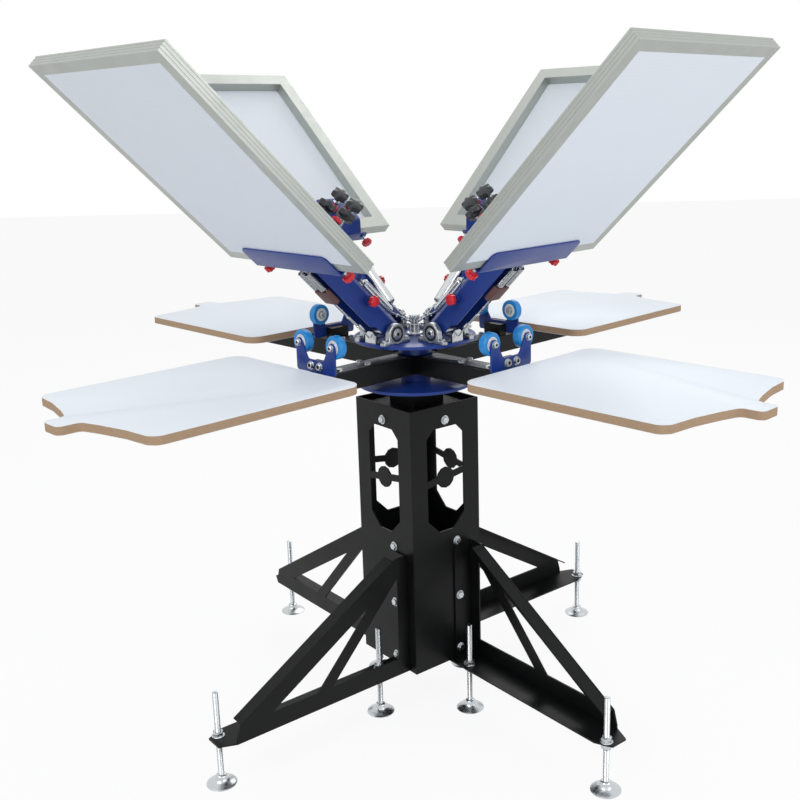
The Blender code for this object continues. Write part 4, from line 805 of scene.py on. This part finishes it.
def stretched_mesh():
    """A flat sheet on the rails' underside, on a grid, with its lengths as its weave coordinates.
    It is trimmed inside the frame's rim, where its band of glue ends."""
    u = np.linspace(START + GLUE_END, START + LONG - GLUE_END, 13)
    v = np.linspace(-WIDE / 2 + GLUE_END, WIDE / 2 - GLUE_END, 11)
    grid = np.stack([*np.meshgrid(u, v, indexing="ij"), np.full((13, 11), UNDER + CLOTH_THICK)], -1)
    top = grid.reshape(-1, 3)
    count = len(top)
    index = np.arange(count).reshape(13, 11)
    quads = np.stack([index[:-1, :-1], index[1:, :-1], index[1:, 1:], index[:-1, 1:]], -1).reshape(-1, 4)
    under = top - (0, 0, CLOTH_THICK)
    edge = np.concatenate([index[:, 0], index[-1, 1:], index[-2::-1, -1], index[0, -2:0:-1]])
    wall = np.stack([edge, edge + count, np.roll(edge, -1) + count, np.roll(edge, -1)], 1)
    return np.concatenate([top, under]), quads.tolist() + (quads[:, ::-1] + count).tolist() + wall.tolist()


rails = mitred_frame()
cloth = stretched_mesh()
for station, bearing in STATIONS.items():
    body = "head_" + station
    piece("screen_frame_" + station, on_arm(rails, bearing), rail_metal, body,
          ("screen_" + station,), 25)
    sheet = piece("screen_mesh_" + station, on_arm(cloth, bearing), mesh_fabric, body, (), 60)
    uv = sheet.data.uv_layers.new(name="weave")
    corner = np.empty(len(sheet.data.loops), dtype=np.int32)
    sheet.data.loops.foreach_get("vertex_index", corner)
    uv.data.foreach_set("uv", (cloth[0][corner, :2] * 0.001).astype(np.float32).ravel())

# ---- Lift springs ----
# Above each arm a bright tube sleeves a stretched coil spring. A hook and a turnbuckle tie it to
# the centre post, and a short rod ties it to the arm's lug.


def tube_along(path, radius, sides=12):
    """A round tube carried along a path: each ring lies square to the path, in a frame that turns
    as little as it can from ring to ring."""
    path = np.asarray(path, float)
    step = np.gradient(path, axis=0)
    step /= np.linalg.norm(step, axis=1)[:, None]
    normal = np.cross(step[0], (0, 0, 1.0) if abs(step[0][2]) < 0.9 else (1.0, 0, 0))
    normal /= np.linalg.norm(normal)
    frames = []
    for way in step:
        normal = normal - way * normal.dot(way)
        normal /= np.linalg.norm(normal)
        frames.append((normal, np.cross(way, normal)))
    first = np.array([f[0] for f in frames])[:, None, :]
    other = np.array([f[1] for f in frames])[:, None, :]
    angle = np.linspace(0, 2 * np.pi, sides, endpoint=False)[None, :, None]
    thick = np.broadcast_to(np.asarray(radius, float), (len(path),))[:, None, None]
    return skin(path[:, None, :] + thick * (first * np.cos(angle) + other * np.sin(angle)))


def raised(radius, height):
    """A point of the carousel, at a radius and a height, in an arm's own millimetres."""
    c, s = math.cos(math.radians(RAISE)), math.sin(math.radians(RAISE))
    out, up = radius - PIVOT_RADIUS, height - PIVOT_HEIGHT
    return np.array([out * c + up * s, 0, -out * s + up * c])


def line(a, b, count=2):
    """Points in a straight line."""
    return np.asarray(a, float) + np.linspace(0, 1, count)[:, None] * (np.asarray(b, float) - np.asarray(a, float))


def eye_loop(centre, radius, along, across, wire):
    """A closed ring of wire in the plane of two directions."""
    angle = np.linspace(0, 2 * np.pi, 25)[:, None]
    return tube_along(np.asarray(centre) + radius * (np.cos(angle) * along + np.sin(angle) * across), wire, 10)


def turnbuckle(start, end, side):
    """Two eye screws and an open body of two bars between bored ends, along a line."""
    start, end = np.asarray(start, float), np.asarray(end, float)
    way = (end - start) / np.linalg.norm(end - start)
    span = np.linalg.norm(end - start)
    parts = [eye_loop(start + way * 3.2, 3.2, way, side, 1.3), eye_loop(end - way * 3.2, 3.2, way, side, 1.3)]
    a, b = start + way * span * 0.28, start + way * span * 0.72
    parts += [tube_along(line(start + way * 6.2, a + way * 3), 2.0, 10),
              tube_along(line(b - way * 3, end - way * 6.2), 2.0, 10)]
    for tip, sign in ((a, 1), (b, -1)):
        parts.append(laid(turned([(3.2, 0), (4.4, 0.6), (4.4, 5), (3.2, 5.8)], 16), tip, way * sign))
    for offset in (-1, 1):
        shift = side * 3.6 * offset
        parts.append(tube_along(line(a + shift + way * 2, b + shift - way * 2), 1.3, 8))
    return joined(*parts)


def pulled(station, bearing, start, end):
    """The arm's and the carousel's body names, with two points, given in the arm's own millimetres and set in place."""
    points = on_arm((np.array([start, end], float), None), bearing)[0]
    return "arm_" + station, "print_carousel", tuple(points[0]), tuple(points[1])


# Drawn aluminium tube and bright spring wire
tube_metal = metal("drawn aluminium tube", "D5D8DA", 0.24, 0.05, 8.0, 0.01)
spring_steel = metal("zinc-plated spring wire", "B9BDC0", 0.26, 0.05, 3.0, 0.01)
# The tube's length, its height above the arm's shaft, and the end of the lug that its rod hooks on
TUBE, LIFT_LINE, LUG_END = 108, 51, 138.8
foot_end, top_end = np.array([16.0, 0, LIFT_LINE]), np.array([16.0 + TUBE, 0, LIFT_LINE])
post_end = raised(11.8, 991)
across = np.array([0, 1.0, 0])
tube_wall = [(9.6, 0), (11.2, 0), (11.8, 0.8), (11.8, TUBE - 0.8), (11.2, TUBE), (9.6, TUBE)]
tube = laid(bored(tube_wall, 40), foot_end, OUT)
caps = [laid(turned([(9.7, 0), (9.7, 3), (6, 3.6), (4, 5)], 24), foot_end + (1, 0, 0), (-1, 0, 0)),
        laid(turned([(9.7, 0), (9.7, 3), (5, 4), (3, 6)], 24), top_end - (1, 0, 0), OUT)]
way = (post_end - foot_end) / np.linalg.norm(post_end - foot_end)
bend = foot_end - (6, 0, 0)
hook_start = bend + way * 8
hook = np.concatenate([line(foot_end - (2, 0, 0), bend + (1, 0, 0), 5), line(bend + way * 2, hook_start, 5)])
links = [tube_along(hook, 2.2, 10),
         turnbuckle(hook_start, post_end - way * 9, across),
         tube_along(line(post_end - way * 11, post_end, 3), 2.0, 10),
         tube_along(line(top_end + (2, 0, 0), (LUG_END, 0, LIFT_LINE)), 3.0, 12)]
lift_links = joined(*caps, *links)
for station, bearing in STATIONS.items():
    piece("lift_tube_" + station, on_arm(tube, bearing), tube_metal, "arm_" + station,
          ("lift_spring_" + station,))
    piece("lift_links_" + station, on_arm(lift_links, bearing), spring_steel,
          pulled(station, bearing, foot_end - (2, 0, 0), hook_start))

# ---- Twin springs ----
# Under each arm two close-wound tension springs hang between the arm's stay and a brown fibre
# yoke, which a turnbuckle ties to the bracket on the disk.

# Brown impregnated fibre of the yoke
fibre = plain_board("brown impregnated fibre", "6E4C49", 0.6, "4E3433", 0.2)
COILS = 22
# The springs' height under the arm's shaft, their ends at the stay, and the yoke's two ends
TWIN_LINE, STAY_END, YOKE_START, YOKE_END = -35.5, 287, 170, 213
# A share, from which the points passed with the coils, the tie and the yoke are worked out
YIELD = 0.1685
coils = []
turns = np.linspace(0, COILS * 2 * np.pi, COILS * 14 + 1)
for v in (-12.5, 12.5):
    run = 218 + (277 - 218) * turns / turns[-1]
    coil = np.stack([run, v + 6.9 * np.cos(turns), TWIN_LINE + 6.9 * np.sin(turns)], 1)
    lead = [(208, v + 6.9, TWIN_LINE), (214, v + 6.9, TWIN_LINE)]
    tail = [(280, v + 6.0, TWIN_LINE), (284.5, v * 0.6, TWIN_LINE), (STAY_END, v * 0.5, TWIN_LINE)]
    coils.append(tube_along(np.concatenate([lead, coil, tail]), 1.05, 8))
yoke_outline = rounded([(-22, -43.3), (22, -43.3), (22, -27.7), (-22, -27.7)], [5] * 4, 4)
yoke = plate(yoke_outline, YOKE_START, YOKE_END, 1.5, "yz")
start = np.array([YOKE_START + 1.0, 0, TWIN_LINE])
for station, bearing in STATIONS.items():
    end = raised(148.4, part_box("twin_spring_" + station)[0][2] * 1000 + 2.5)
    way = (end - start) / np.linalg.norm(end - start)
    tie = [tube_along(line(start, start + way * 34, 3), 2.0, 10),
           turnbuckle(start + way * 32, end - way * 18, across),
           tube_along(line(end - way * 20, end, 3), 2.0, 10)]
    # The coils' two points are set so that the yoke's end lies at that share of the way between them, and the tie's
    # go on from there to the bracket
    coil_run = (STAY_END - YOKE_END) / YIELD
    piece("twin_coils_" + station, on_arm(joined(*coils), bearing), spring_steel,
          pulled(station, bearing, (STAY_END, 0, TWIN_LINE), (STAY_END - coil_run, 0, TWIN_LINE)),
          ("twin_spring_" + station,))
    tie_run = (start[0] - end[0]) / (1 - YIELD)
    piece("twin_tie_" + station, on_arm(joined(*tie), bearing), zinc,
          pulled(station, bearing, (end[0] + tie_run, 0, TWIN_LINE), (end[0], 0, TWIN_LINE)))
    # Points 2 m apart, square to the yoke, with its line at that share of the way between them
    piece("twin_yoke_" + station, on_arm(yoke, bearing), fibre,
          pulled(station, bearing, (191, 0, TWIN_LINE - 2000 * YIELD), (191, 0, TWIN_LINE + 2000 * (1 - YIELD))))
